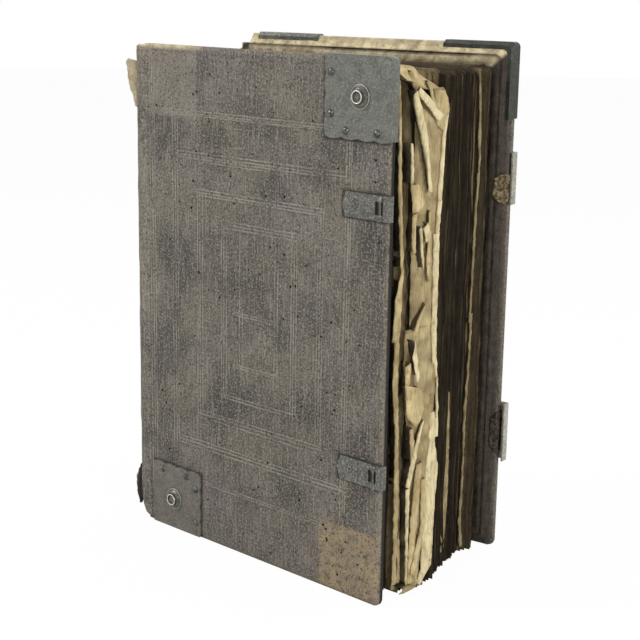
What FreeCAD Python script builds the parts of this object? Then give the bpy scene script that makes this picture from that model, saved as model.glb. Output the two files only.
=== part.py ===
import FreeCAD, Part
import math
import os
import Sketcher
from FreeCAD import Placement, Rotation, Vector

# An old folio in leather over wooden boards, standing on its tail edges.
# X runs from the spine to the fore-edge, Y from the front cover to the rear one, Z up.
# The origin is the middle of the tail, where the leaves stand on the table.
# Each cover is drawn lying against the plane Y = 0, outside first, and is then placed.

SIZES = [
    ("front_width", 244.3, "front cover, joint to fore-edge"),
    ("front_height", 380.0, "front cover, tail to head"),
    ("rear_width", 236.0, "rear cover, joint to fore-edge"),
    ("rear_height", 386.0, "rear cover, tail to head"),
    ("thickness", 120.0, "outside of one cover to the other at the joints"),
    ("gape", 8.15, "degrees that the rear cover stands open"),
    ("case", 12.0, "thickness of a covered board"),
    ("edge", 5.0, "thickness of its bevelled edge"),
    ("bevel", 10.0, "width of the bevel inside"),
    ("corner", 4.0, "radius of the fore-edge corners"),
    ("leather", 1.0, "thickness of the covering"),
    ("turn_in", 17.0, "leather folded over on to the inside"),
    ("lining", 0.4, "thickness of a pastedown"),
    ("joint_gap", 0.3, "clearance between a cover and the spine"),
    ("hinge_rise", 1.8, "hinge line outside the face of the cover"),
    ("leaf_gap", 0.8, "clearance between cover and leaves"),
    ("spine_depth", 15.0, "spine behind the joints at its shoulders"),
    ("shoulder", 9.0, "radius where the leather turns into the spine"),
    ("crown", 17.8, "degrees of slope where the rounded back begins"),
    ("spine_square", 2.0, "spine leather short of the head and tail of the cover"),
    ("tail_wear", 19.0, "radius of the worn corner at the tail"),
    ("back_square", 12.0, "sewn back of the leaves short of head and tail"),
    ("cord", 3.5, "radius of a sewing cord"),
    ("band_low", 75.8, "lowest raised band above the tail"),
    ("band_high", 65.4, "highest raised band below the head"),
    ("band_start", 9.0, "where a band begins to taper, from the shoulder"),
    ("band_taper", 5.0, "length of that taper"),
    ("band_tip", 1.2, "radius of a cord's tapered end"),
    ("tear", 36.0, "depth of the torn patch below the head of the spine"),
    ("endband", 2.5, "radius of an endband core"),
    ("leaf_front", 0.35, "degrees that the first leaf leaves the front cover"),
    ("leaf_bulge", 0.9, "rounding of a gathering at the fore-edge"),
    ("plate", 1.2, "thickness of the metal plates"),
    ("flange", 8.0, "depth of a plate folded over the edge"),
    ("head_plate_width", 56.8, "fore-edge corner plate across the cover"),
    ("head_plate_height", 53.7, "the same plate down from the head"),
    ("head_boss_in", 26.0, "its boss from the two outer sides"),
    ("tail_plate_width", 53.8, "spine-side corner plate across the cover"),
    ("tail_plate_height", 51.0, "the same plate up the cover"),
    ("tail_boss_in", 24.7, "its boss from the two outer sides"),
    ("plate_start", 7.0, "spine-side plate from the joint"),
    ("lobe", 1.3, "rise of a scallop"),
    ("lobes", 4, "scallops on a side"),
    ("boss_base", 8.6, "radius of a boss"),
    ("boss_rim", 0.8, "thickness of its rim"),
    ("boss_dome", 2.2, "height of its dome"),
    ("boss_collar", 2.5, "height where the stud leaves the dome"),
    ("boss_height", 4.3, "height of the whole boss"),
    ("boss_stud", 4.7, "radius of its stud"),
    ("boss_ring", 1.1, "wall of the ring on the stud"),
    ("boss_sink", 1.0, "depth inside that ring"),
    ("nail", 2.7, "radius of a nail head"),
    ("nail_rise", 1.7, "height of a nail head"),
    ("nail_waist", 0.85, "its width halfway up, as a share"),
    ("nail_near", 11.0, "first nail along a plate"),
    ("nail_far", 38.5, "second nail along a plate"),
    ("nail_edge", 4.6, "nails from the scalloped side"),
    ("catch_low", 95.3, "middle of the lower catch above the tail"),
    ("catch_high", 98.0, "middle of the upper catch below the head"),
    ("catch_length", 40.3, "catch plate from its point to the fore-edge"),
    ("catch_width", 17.2, "catch plate up the cover"),
    ("catch_point", 3.2, "length of its pointed end"),
    ("catch_flange", 3.6, "catch plate folded over the edge"),
    ("slot_out", 4.2, "slot from the fore-edge"),
    ("slot_width", 7.0, "slot across the cover"),
    ("slot_height", 9.0, "slot up the cover"),
    ("pin", 0.9, "radius of the catch pin"),
    ("knuckle", 0.9, "metal rolled round the pin"),
    ("pin_out", 6.6, "catch pin from the fore-edge"),
    ("rivet", 1.5, "radius of a catch rivet"),
    ("rivet_rise", 0.75, "height of a catch rivet"),
    ("rivet_in", 3.0, "outer catch rivet from the slot"),
    ("anchor_high", 97.4, "middle of the upper strap anchor below the head"),
    ("anchor_low", 93.7, "middle of the lower strap anchor above the tail"),
    ("anchor_nail_in", 9.2, "anchor nails from the edge of the cover"),
    ("anchor_nail_end", 4.6, "anchor nails from the ends of the anchor"),
    ("upper_anchor_height", 38.6, "upper strap anchor up the cover"),
    ("lower_anchor_height", 45.3, "lower strap anchor up the cover"),
    ("anchor_length", 26.0, "strap anchor on the outside of the cover"),
    ("anchor_lip", 6.5, "strap anchor folded past the edge"),
    ("upper_anchor_gap", 2.1, "room between its fold and the edge of the cover"),
    ("lower_anchor_gap", 4.8, "the same at the lower anchor"),
    ("strap", 1.4, "thickness of the strap leather"),
    ("strap_clear", 0.3, "strap from the cover"),
    ("strap_height", 26.0, "height of what is left of a strap"),
    ("strap_reach", 10.5, "strap lying on the bevel"),
]

# One row for each gathering from the front: its share of the leaves' thickness, how far it
# reaches past the front cover's fore-edge, how high its tail stands, and its drop from the head.
GATHERINGS = [
    (0.05, -10.3, 0.0, 7.0),
    (0.05, -19.0, 1.5, 13.0),
    (0.09, 4.7, 0.0, 6.0),
    (0.11, 1.7, 0.0, 8.0),
    (0.11, -4.3, 0.0, 9.5),
    (0.10, -8.8, 0.0, 11.0),
    (0.09, -13.3, 0.0, 10.0),
    (0.09, -16.8, 0.0, 12.0),
    (0.08, -18.3, 0.0, 10.5),
    (0.08, -20.3, 1.0, 12.0),
    (0.07, -20.8, 0.0, 10.5),
    (0.04, -17.3, 0.0, 9.5),
    (0.04, -21.8, 2.0, 12.0),
]

BANDS = 5
ROD_SIDES = 8
NAIL_SIDES = 8
CROWN_SPANS = 6

# The torn patch of the spine leather, from the front shoulder to the rear one: how far
# across the back, and how deep, as a share of its greatest depth.
TEAR = [(0.06, 0.78), (0.26, 1.0), (0.5, 0.7), (0.84, 0.86)]

doc = FreeCAD.newDocument("LeatherBook")
sheet = doc.addObject("Spreadsheet::Sheet", "Sizes")
for row, (alias, value, meaning) in enumerate(SIZES, start=1):
    sheet.set("A%d" % row, meaning)
    sheet.set("B%d" % row, str(value))
    sheet.setAlias("B%d" % row, alias)
doc.recompute()


def size(alias):
    return float(sheet.get(alias))


HOME = Placement(Vector(-size("front_width") / 2, -size("thickness") / 2, 0), Rotation())
REAR_HINGE = Vector(0, size("thickness") + size("hinge_rise"), 0)
OPEN = Placement(Vector(), Rotation(Vector(0, 0, 1), size("gape")), REAR_HINGE)
TURNED = Placement(Vector(0, size("thickness"), size("rear_height")), Rotation(Vector(1, 0, 0), 180))
PLACES = {"front": HOME, "rear": HOME * OPEN * TURNED}
nodes = []


def keep(piece, label):
    piece.Label = label
    nodes.append(piece)
    return piece


def feature(label, shape, place=HOME):
    piece = doc.addObject("Part::Feature", label)
    piece.Shape = shape
    piece.Placement = place * shape.Placement
    return keep(piece, label)


def plane(body, role):
    return next(item for item in body.Origin.OriginFeatures if item.Role == role)


# Sketches

def outline_sketch(body, name, side, inset, depth):
    """The outline of a cover at one depth, its two fore-edge corners round."""
    sketch = body.newObject("Sketcher::SketchObject", name)
    sketch.AttachmentSupport = (plane(body, "XZ_Plane"), "")
    sketch.MapMode = "FlatFace"
    sketch.setExpression("AttachmentOffset.Base.z", "-(%s)" % depth)
    wide, tall, round_ = size(side + "_width"), size(side + "_height"), size("corner")
    points = [Vector(0, 0), Vector(wide - round_, 0), Vector(wide, round_),
              Vector(wide, tall - round_), Vector(wide - round_, tall), Vector(0, tall)]
    centres = [Vector(wide - round_, round_), Vector(wide - round_, tall - round_)]
    up = Vector(0, 0, 1)
    sketch.addGeometry(Part.LineSegment(points[0], points[1]))
    sketch.addGeometry(Part.ArcOfCircle(Part.Circle(centres[0], up, round_), -math.pi / 2, 0))
    sketch.addGeometry(Part.LineSegment(points[2], points[3]))
    sketch.addGeometry(Part.ArcOfCircle(Part.Circle(centres[1], up, round_), 0, math.pi / 2))
    sketch.addGeometry(Part.LineSegment(points[4], points[5]))
    sketch.addGeometry(Part.LineSegment(points[5], points[0]))
    for edge in range(4):
        sketch.addConstraint(Sketcher.Constraint("Tangent", edge, 2, edge + 1, 1))
    for edge in (4, 5):
        sketch.addConstraint(Sketcher.Constraint("Coincident", edge, 2, (edge + 1) % 6, 1))
    sketch.addConstraint(Sketcher.Constraint("Horizontal", 0))
    sketch.addConstraint(Sketcher.Constraint("Horizontal", 4))
    sketch.addConstraint(Sketcher.Constraint("Vertical", 2))
    sketch.addConstraint(Sketcher.Constraint("Vertical", 5))
    sketch.addConstraint(Sketcher.Constraint("Equal", 1, 3))
    driven = [
        (Sketcher.Constraint("DistanceX", -1, 1, 0, 1, 0.0), None),
        (Sketcher.Constraint("DistanceY", -1, 1, 0, 1, 0.5), inset),
        (Sketcher.Constraint("DistanceX", -1, 1, 2, 1, wide), "Sizes.%s_width - (%s)" % (side, inset)),
        (Sketcher.Constraint("DistanceY", -1, 1, 4, 2, tall), "Sizes.%s_height - (%s)" % (side, inset)),
        (Sketcher.Constraint("Radius", 1, round_), "Sizes.corner"),
    ]
    for constraint, formula in driven:
        index = sketch.addConstraint(constraint)
        if formula:
            sketch.setExpression("Constraints[%d]" % index, formula)
    return sketch


def polygon_sketch(body, name, role, points):
    """A closed outline of straight lines, each corner given by two formulas."""
    sketch = body.newObject("Sketcher::SketchObject", name)
    sketch.AttachmentSupport = (plane(body, role), "")
    sketch.MapMode = "FlatFace"
    count = len(points)
    starts = [Vector(10 * math.cos(2 * math.pi * k / count), 10 * math.sin(2 * math.pi * k / count))
              for k in range(count)]
    for k in range(count):
        sketch.addGeometry(Part.LineSegment(starts[k], starts[(k + 1) % count]))
    for k in range(count):
        sketch.addConstraint(Sketcher.Constraint("Coincident", k, 2, (k + 1) % count, 1))
    for k, formulas in enumerate(points):
        for axis, formula in zip("XY", formulas):
            start = getattr(starts[k], axis.lower())
            rule = Sketcher.Constraint("Distance" + axis, -1, 1, k, 1, start)
            index = sketch.addConstraint(rule)
            sketch.setExpression("Constraints[%d]" % index, formula)
    return sketch


# Covers

def slab(name, side, inset):
    """A cover with three edges bevelled inside, drawn in or out by one distance all round."""
    body = doc.addObject("PartDesign::Body", name)
    depths = [(inset, inset),
              (inset, "Sizes.edge - (%s)" % inset),
              ("%s + Sizes.bevel" % inset, "Sizes.case - (%s)" % inset)]
    sketches = [outline_sketch(body, "%s_section_%d" % (name, k), side, margin, depth)
                for k, (margin, depth) in enumerate(depths)]
    loft = body.newObject("PartDesign::AdditiveLoft", name + "_loft")
    loft.Profile = sketches[0]
    loft.Sections = sketches[1:]
    loft.Ruled = True
    return body


def panel(name, side, thickness):
    """A flat sheet on the inside of a board, framed by the turn-ins."""
    box = doc.addObject("Part::Box", name)
    box.setExpression("Length", "Sizes.%s_width - Sizes.turn_in" % side)
    box.setExpression("Width", thickness)
    box.setExpression("Height", "Sizes.%s_height - 2 * Sizes.turn_in" % side)
    box.Placement = Placement(Vector(0, size("case") - size("leather"), size("turn_in")), Rotation())
    return box


def cover(side):
    """Board, covering with turn-ins and lining. Returns the covered form and the form a plate thicker."""
    covered = slab(side + "_covered", side, "0")
    board = keep(slab(side + "_board", side, "Sizes.leather"), side + "_board")
    window = panel(side + "_window", side, "2 * Sizes.leather")
    skin = doc.addObject("Part::Cut", side + "_skin")
    skin.Base = covered
    skin.Tool = board
    leather = doc.addObject("Part::Cut", side + "_leather")
    leather.Base = skin
    leather.Tool = window
    keep(leather, side + "_leather")
    lining = keep(panel(side + "_pastedown", side, "Sizes.lining"), side + "_pastedown")
    plated = slab(side + "_plated", side, "-Sizes.plate")
    doc.recompute()
    forms = covered.Shape.copy(), plated.Shape.copy()
    for piece in (covered, board, window, lining):
        piece.Placement = PLACES[side] * piece.Placement
    return forms


# Metal fittings

def scallops(start, end, out):
    """Arcs from one point to another, each bulging by the scallop's rise."""
    count = int(size("lobes"))
    step = (end - start) * (1 / count)
    edges = []
    for k in range(count):
        first = start + step * k
        last = start + step * (k + 1)
        edges.append(Part.Arc(first, (first + last) * 0.5 + out * size("lobe"), last).toShape())
    return edges


def corner_plate(label, side, at_fore, at_top, forms):
    """A plate with two scalloped sides, folded over the edges of the cover that it reaches."""
    covered, plated = forms
    wide, tall = size(side + "_width"), size(side + "_height")
    kind = "tail" if label == "front_tail" else "head"
    across, up = size(kind + "_plate_width"), size(kind + "_plate_height")
    boss_in = size(kind + "_boss_in")
    over_x = size("plate") if at_fore else 0
    over_z = size("plate") if at_top or side == "rear" else 0
    points = [Vector(-over_x, 0, up), Vector(across, 0, up),
              Vector(across, 0, -over_z), Vector(-over_x, 0, -over_z)]
    edges = scallops(points[0], points[1], Vector(0, 0, 1))
    edges += scallops(points[1], points[2], Vector(1, 0, 0))
    edges += [Part.makeLine(points[2], points[3]), Part.makeLine(points[3], points[0])]
    folded = size("flange") if over_x or over_z else 0
    blank = Part.Face(Part.Wire(edges)).extrude(Vector(0, size("plate") + folded, 0))
    blank.translate(Vector(0, -size("plate"), 0))
    if at_fore:
        blank = blank.mirror(Vector(), Vector(1, 0, 0))
        blank.translate(Vector(wide, 0, 0))
    else:
        blank.translate(Vector(size("plate_start"), 0, 0))
    if at_top:
        blank = blank.mirror(Vector(), Vector(0, 0, 1))
        blank.translate(Vector(0, 0, tall))
    shape = blank.common(plated).cut(covered)
    feature(label + "_corner", shape.removeSplitter(), PLACES[side])
    across_point = (lambda u: wide - u) if at_fore else (lambda u: size("plate_start") + u)
    up_point = (lambda w: tall - w) if at_top else (lambda w: w)
    boss(label + "_boss", PLACES[side], across_point(boss_in), up_point(boss_in))
    spots = [(across - size("nail_edge"), size("nail_near")), (across - size("nail_edge"), size("nail_far")),
             (size("nail_near"), up - size("nail_edge")), (size("nail_far"), up - size("nail_edge"))]
    heads = [nail_head(Vector(across_point(u), -size("plate"), up_point(w)), size("nail"), size("nail_rise"))
             for u, w in spots]
    feature(label + "_nails", Part.makeCompound(heads), PLACES[side])


def nail_head(foot, radius, rise):
    """A forged head with flat sides and a flat top, which stands on its foot and points outwards."""
    steps = [2 * math.pi * k / NAIL_SIDES for k in range(NAIL_SIDES)]
    levels = ((radius, 0), (radius * size("nail_waist"), rise / 2), (radius / 2, rise))
    return flat_sided([[foot + Vector(around * math.cos(step), -height, around * math.sin(step))
                        for step in steps] for around, height in levels])


def flat_sided(rings):
    """A solid with flat sides through outlines that have the same number of corners."""
    outlines = [rings[0], rings[-1]]
    for low, high in zip(rings, rings[1:]):
        outlines += [[low[k - 1], low[k], high[k], high[k - 1]] for k in range(len(low))]
    faces = [Part.Face(Part.makePolygon(outline + outline[:1])) for outline in outlines]
    return Part.Solid(Part.Shell(faces))


def boss(label, place, x, z):
    """A turned boss: rim, dome, and a stud that ends in a ring."""
    body = doc.addObject("PartDesign::Body", label)
    profile = polygon_sketch(body, label + "_profile", "XY_Plane", [
        ("0", "0"),
        ("Sizes.boss_base", "0"),
        ("Sizes.boss_base", "-Sizes.boss_rim"),
        ("Sizes.boss_stud + Sizes.boss_ring", "-Sizes.boss_dome"),
        ("Sizes.boss_stud", "-Sizes.boss_collar"),
        ("Sizes.boss_stud", "-Sizes.boss_height"),
        ("Sizes.boss_stud - Sizes.boss_ring", "-Sizes.boss_height"),
        ("Sizes.boss_stud - Sizes.boss_ring", "-Sizes.boss_height + Sizes.boss_sink"),
        ("0", "-Sizes.boss_height + Sizes.boss_sink"),
    ])
    turn = body.newObject("PartDesign::Revolution", label + "_turn")
    turn.Profile = profile
    turn.ReferenceAxis = (profile, ["V_Axis"])
    turn.Angle = 360
    body.Placement = place * Placement(Vector(x, -size("plate"), z), Rotation())
    keep(body, label)


def catch(label, height, covered):
    """A pointed plate with a slot, the pin across the slot, and two rivets."""
    wide, plate = size("front_width"), size("plate")
    half = size("catch_width") / 2
    inner = wide - size("catch_length")
    outer = wide + plate
    points = [(inner, 0), (inner + size("catch_point"), half), (outer, half),
              (outer, -half), (inner + size("catch_point"), -half)]
    outline = Part.makePolygon([Vector(x, -plate, z) for x, z in points + points[:1]])
    form = Part.Face(outline).extrude(Vector(0, plate + size("catch_flange"), 0))
    slot = Part.makeBox(size("slot_width"), 3 * plate, size("slot_height"),
                        Vector(wide - size("slot_out") - size("slot_width"), -2 * plate, -size("slot_height") / 2))
    form = form.cut(slot)
    pin_foot = Vector(wide - size("pin_out"), -plate, -half)
    pin = Part.makeCylinder(size("pin"), 2 * half, pin_foot)
    roll = size("pin") + size("knuckle")
    length = half - size("slot_height") / 2
    for foot in (pin_foot, pin_foot + Vector(0, 0, 2 * half - length)):
        form = form.fuse(Part.makeCylinder(roll, length, foot))
    form.translate(Vector(0, 0, height))
    pin.translate(Vector(0, 0, height))
    form = form.cut(covered).cut(pin)
    feature(label + "_catch_plate", form.removeSplitter())
    feature(label + "_catch_pin", pin)
    places = (inner + size("catch_point") + size("rivet"),
              wide - size("slot_out") - size("slot_width") - size("rivet_in"))
    heads = [nail_head(Vector(x, -plate, height), size("rivet"), size("rivet_rise")) for x in places]
    feature(label + "_catch_rivets", Part.makeCompound(heads))


def strap_end(label, height):
    """The folded metal that held a strap, and the torn end of the strap inside the fold."""
    wide, plate = size("rear_width"), size("plate")
    tall = size(label + "_anchor_height")
    gap, lip = size(label + "_anchor_gap"), size("anchor_lip")
    outside = wide + gap + plate
    fold = Part.makeBox(size("anchor_length") + gap + plate, lip + plate, tall,
                        Vector(wide - size("anchor_length"), -plate, height - tall / 2))
    room = Part.makeBox(size("anchor_length") + gap, lip + plate, tall,
                        Vector(wide - size("anchor_length"), 0, height - tall / 2))
    upright = [edge for edge in fold.Edges if abs(edge.tangentAt(edge.FirstParameter).z) > 0.5]
    corners = [edge for edge in upright
               if edge.Vertexes[0].X > outside - plate / 2 and edge.Vertexes[0].Y < 0]
    fold = fold.makeFillet(plate, corners).cut(room)
    feature(label + "_strap_anchor", fold, PLACES["rear"])
    clear, thick = size("strap_clear"), size("strap")
    run = size("case") - size("edge")
    slope = math.atan2(run, size("bevel"))
    along = Vector(-math.cos(slope), math.sin(slope), 0)
    across = Vector(math.sin(slope), math.cos(slope), 0)
    turn = Vector(wide, size("edge"), 0) + across * clear
    shift = clear / math.sin(slope) - clear * math.tan(slope / 2)
    near = [Vector(wide + clear, clear, 0), Vector(wide + clear, size("edge") + shift / 2, 0),
            turn + along * size("strap_reach")]
    far = [near[2] + across * thick, Vector(wide + clear + thick, size("edge") + shift + thick / 2, 0),
           Vector(wide + clear + thick, clear, 0)]
    face = Part.Face(Part.makePolygon(near + far + near[:1]))
    stub = face.extrude(Vector(0, 0, size("strap_height")))
    stub.translate(Vector(0, 0, height - size("strap_height") / 2))
    feature(label + "_strap_stub", stub, PLACES["rear"])
    reach = tall / 2 - size("anchor_nail_end")
    heads = [nail_head(Vector(wide - size("anchor_nail_in"), -plate, z), size("nail"), size("nail_rise"))
             for z in (height - reach, height + reach)]
    feature(label + "_anchor_nails", Part.makeCompound(heads), PLACES["rear"])


# Spine and leaves

def crown_circle():
    """Centre and radius of the rounded back, which leaves each shoulder at the crown's slope."""
    shoulder, half = size("shoulder"), size("thickness") / 2
    slope = math.radians(size("crown"))
    reach = (half - shoulder) / math.sin(slope)
    centre = Vector(shoulder - size("spine_depth") + reach * math.cos(slope), half, 0)
    return centre, shoulder + reach


def spine_edges(inset):
    """The back of the book in plan, joint to joint, this far inside the leather's surface."""
    shoulder, thick = size("shoulder"), size("thickness")
    near = Vector(shoulder - size("spine_depth"), shoulder, 0)
    centre, crown_radius = crown_circle()
    turn = math.radians(90 - size("crown"))
    radius = shoulder - inset

    def across(point):
        return Vector(point.x, thick - point.y, 0)

    def round_corner(angle):
        return near + Vector(-math.sin(angle), -math.cos(angle), 0) * radius

    joint = Vector(-size("joint_gap"), inset, 0)
    def on_crown(degrees):
        angle = math.radians(degrees)
        return centre + Vector(-math.cos(angle), math.sin(angle), 0) * (crown_radius - inset)

    start, middle, end = round_corner(0), round_corner(turn / 2), round_corner(turn)
    # The crown is drawn in short spans, because one long face over the bands meshes badly.
    spans = [size("crown") * (2 * k / CROWN_SPANS - 1) for k in range(CROWN_SPANS + 1)]
    crown = [Part.Arc(on_crown(a), on_crown((a + b) / 2), on_crown(b)).toShape()
             for a, b in zip(spans, spans[1:])]
    return [Part.makeLine(joint, start), Part.Arc(start, middle, end).toShape(), *crown,
            Part.Arc(across(end), across(middle), across(start)).toShape(),
            Part.makeLine(across(start), across(joint))]


def back_prism(inset, low, high):
    edges = spine_edges(inset)
    edges.append(Part.makeLine(edges[-1].Vertexes[-1].Point, edges[0].Vertexes[0].Point))
    prism = Part.Face(Part.Wire(edges)).extrude(Vector(0, 0, high - low))
    prism.translate(Vector(0, 0, low))
    return prism


def along_back(inset, height, radius, trim, tip=None):
    """A rod laid across the back, short of the shoulders. With a tip, both ends taper to it."""
    centre, crown_radius = crown_circle()
    bend = crown_radius - inset
    half = size("crown") - math.degrees(trim / bend)

    def section(thick, angle, beyond=0.0):
        """The rod's many-sided outline, square to the back at an angle, or this far past it."""
        turn = math.radians(180 + angle)
        outwards = Vector(math.cos(turn), math.sin(turn), 0)
        along = Vector(-math.sin(turn), math.cos(turn), 0)
        foot = Vector(centre.x, centre.y, height) + outwards * bend + along * beyond
        steps = [2 * math.pi * (k + 0.5) / ROD_SIDES for k in range(ROD_SIDES)]
        return [foot + outwards * thick * math.cos(step) + Vector(0, 0, thick * math.sin(step))
                for step in steps]

    start = section(radius, -half)
    rod = Part.Face(Part.makePolygon(start + start[:1])).revolve(centre, Vector(0, 0, 1), 2 * half)
    if tip:
        for sign in (-1, 1):
            taper = sign * size("band_taper")
            rod = rod.fuse(flat_sided([section(radius, sign * half), section(tip, sign * half, taper)]))
    return rod


def leaves(cords):
    """The sewn leaves: a backed spine, and gatherings that fan out to a stepped fore-edge."""
    tall = size("front_height")
    gap, clear = size("joint_gap"), size("case") + size("leaf_gap")
    body = back_prism(size("leather"), size("back_square"), tall - size("back_square"))
    front = math.radians(size("leaf_front"))
    rear = math.radians(size("gape"))
    thick = size("thickness") - 2 * clear
    prisms = []
    done = 0.0
    for share, reach, tail, drop in GATHERINGS:
        ends = []
        for place in (done, done + share):
            turn = front + (rear - front) * place
            foot = Vector(-gap, clear + thick * place, 0)
            length = (size("front_width") + reach + gap) / math.cos(turn)
            ends.append((foot, foot + Vector(math.cos(turn), math.sin(turn), 0) * length))
        (foot_a, end_a), (foot_b, end_b) = ends
        bulge = (end_a + end_b) * 0.5 + Vector(size("leaf_bulge"), 0, 0)
        wire = Part.Wire([Part.makeLine(foot_a, end_a), Part.Arc(end_a, bulge, end_b).toShape(),
                          Part.makeLine(end_b, foot_b), Part.makeLine(foot_b, foot_a)])
        prism = Part.Face(wire).extrude(Vector(0, 0, tall - drop - tail))
        prism.translate(Vector(0, 0, tail))
        prisms.append(prism)
        done += share
    return body.multiFuse(prisms).cut(Part.makeCompound(cords)).removeSplitter()


def spine_leather(cords):
    """Leather over the back and the cords, torn away at the head and worn round at the tail."""
    tall, square = size("front_height"), size("spine_square")
    skin = back_prism(0, square, tall - square)
    bands = [sewn_band(k, size("leather")) for k in range(BANDS)]
    skin = skin.multiFuse(bands).cut(back_prism(size("leather"), 0, tall)).cut(Part.makeCompound(cords))
    return skin.cut(torn_head()).cut(worn_corner())


def worn_corner():
    """The front corner of the spine leather, rubbed round at the tail."""
    worn, low = size("tail_wear"), size("spine_square")
    middle = Vector(-size("joint_gap"), 0, low + worn)
    block = Part.makeBox(2 * worn, size("shoulder"), worn + low, Vector(middle.x - 2 * worn, 0, 0))
    rounding = Part.makeCylinder(worn, size("shoulder"), middle, Vector(0, 1, 0))
    return block.cut(rounding)


def torn_head():
    """The patch of leather that is missing from the back at the head."""
    tall, deep = size("front_height"), 3 * size("spine_depth")
    near, far = size("shoulder"), size("thickness") - size("shoulder")
    places = [(TEAR[0][0] / 2, 0.0)] + TEAR + [((1 + TEAR[-1][0]) / 2, 0.0)]
    points = [Vector(-deep, near + (far - near) * across, tall - size("tear") * depth)
              for across, depth in places]
    return Part.Face(Part.makePolygon(points + points[:1])).extrude(Vector(deep - size("shoulder"), 0, 0))


def band_height(k):
    low, high = size("band_low"), size("front_height") - size("band_high")
    return low + (high - low) * k / (BANDS - 1)


def sewn_band(k, cover_thickness):
    """A sewing cord, or with a thickness the leather over it."""
    return along_back(size("leather"), band_height(k), size("cord") + cover_thickness,
                      size("band_start"), size("band_tip") + cover_thickness)


def endband(low):
    return along_back(size("leather") + size("endband"), low, size("endband"), 2 * size("endband"))


forms = {side: cover(side) for side in ("front", "rear")}
cord_rods = [sewn_band(k, 0) for k in range(BANDS)]
feature("text_block", leaves(cord_rods))
feature("spine_leather", spine_leather(cord_rods))
for number, rod in enumerate(cord_rods, start=1):
    feature("sewing_cord_%d" % number, rod)
feature("tail_endband", endband(size("back_square") - size("endband")))
feature("head_endband", endband(size("front_height") - size("back_square") + size("endband")))
corner_plate("front_head", "front", True, True, forms["front"])
corner_plate("front_tail", "front", False, False, forms["front"])
corner_plate("rear_head_fore", "rear", True, False, forms["rear"])
corner_plate("rear_head_spine", "rear", False, False, forms["rear"])
catch("upper", size("front_height") - size("catch_high"), forms["front"][0])
catch("lower", size("catch_low"), forms["front"][0])
# The rear cover is drawn from its head, because it is turned over when it is placed.
strap_end("upper", size("anchor_high"))
strap_end("lower", size("rear_height") - size("anchor_low"))
doc.recompute()

for item in doc.Objects:
    if "Invalid" in item.State or "Error" in item.State:
        raise RuntimeError("%s did not build: %s" % (item.Name, item.State))
for piece in nodes:
    if piece.Shape.isNull() or not piece.Shape.isValid():
        raise RuntimeError("%s has no valid shape" % piece.Label)

os.makedirs("parts", exist_ok=True)
for piece in nodes:
    piece.Shape.exportStep("parts/%s.step" % piece.Label)
    box = piece.Shape.optimalBoundingBox()
    print("%-26s %9.0f mm3  solids %d  x %.1f..%.1f  y %.1f..%.1f  z %.1f..%.1f" % (
        piece.Label, piece.Shape.Volume, len(piece.Shape.Solids),
        box.XMin, box.XMax, box.YMin, box.YMax, box.ZMin, box.ZMax))
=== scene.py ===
# %% [markdown]
# # An old folio in blind-tooled leather over wooden boards
#
# The book stands open by a few degrees, so its cover, its torn fore-edge and the inside of the
# rear cover all show. The solids come from the frame. Each cell below dresses one part of the
# book: leather, paper, metal, cord. Sizes are typed in millimetres, as a binder would give them,
# and turned to Blender's metres in one place.

# %% Load the frame
import math

import bpy
import numpy as np
from mathutils import Matrix, Vector


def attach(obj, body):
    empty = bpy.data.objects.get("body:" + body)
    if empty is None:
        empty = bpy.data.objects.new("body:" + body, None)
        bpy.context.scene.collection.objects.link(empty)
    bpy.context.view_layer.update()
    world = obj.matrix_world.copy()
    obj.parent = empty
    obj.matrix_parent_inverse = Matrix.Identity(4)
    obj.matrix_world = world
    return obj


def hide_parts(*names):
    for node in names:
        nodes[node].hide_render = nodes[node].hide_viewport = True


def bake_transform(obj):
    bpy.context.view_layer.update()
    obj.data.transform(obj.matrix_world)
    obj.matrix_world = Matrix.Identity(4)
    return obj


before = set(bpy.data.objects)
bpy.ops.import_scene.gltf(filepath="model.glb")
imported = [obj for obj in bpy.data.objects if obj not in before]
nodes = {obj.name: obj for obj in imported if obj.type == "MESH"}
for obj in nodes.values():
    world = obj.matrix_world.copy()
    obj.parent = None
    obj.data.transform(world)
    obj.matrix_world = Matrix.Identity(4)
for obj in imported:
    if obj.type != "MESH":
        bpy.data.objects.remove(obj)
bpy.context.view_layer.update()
MM = 0.001

# %% [markdown]
# ## The book's main sizes
#
# These are the measures that the frame was drawn with. The covers are drawn lying flat, outside
# first, and then placed: the front one by a shift, the rear one turned over and opened.

# %% Main sizes
WIDE, TALL = 244.3, 380.0
REAR_WIDE, REAR_TALL = 236.0, 386.0
THICK, CASE, EDGE, BEVEL, CORNER = 120.0, 12.0, 5.0, 10.0, 4.0
GAPE, HINGE_RISE = 8.15, 1.8
SKIN, PLATE, LEAF_GAP = 0.9, 1.2, 0.8
BANDS = [75.8 + 59.7 * k for k in range(5)]

home = Matrix.Translation((-WIDE / 2, -THICK / 2, 0))
hinge = Matrix.Translation((0, THICK + HINGE_RISE, 0))
opened = hinge @ Matrix.Rotation(math.radians(GAPE), 4, "Z") @ hinge.inverted()
turned = Matrix.Translation((0, THICK, REAR_TALL)) @ Matrix.Rotation(math.pi, 4, "X")
PLACES = {"front": home, "rear": home @ opened @ turned, "root": home}
BODIES = {"front": "front_cover", "rear": "rear_cover", "root": "text_block_body"}
print("cover", WIDE, "x", TALL, "mm, bands at", BANDS)


# %% [markdown]
# ## Helpers
#
# `linear` turns a colour as it is written for a screen into the light values that a shader adds
# up. `add` puts one node into a tree. `mesh_piece` makes a mesh from points in millimetres, tells
# it which body it rides on and gives it its material.

# %% Colour, node and mesh helpers
def linear(code):
    """An sRGB hex colour as linear RGBA."""
    parts = [int(code[k:k + 2], 16) / 255 for k in (1, 3, 5)]
    return [p / 12.92 if p <= 0.04045 else ((p + 0.055) / 1.055) ** 2.4 for p in parts] + [1.0]


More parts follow.
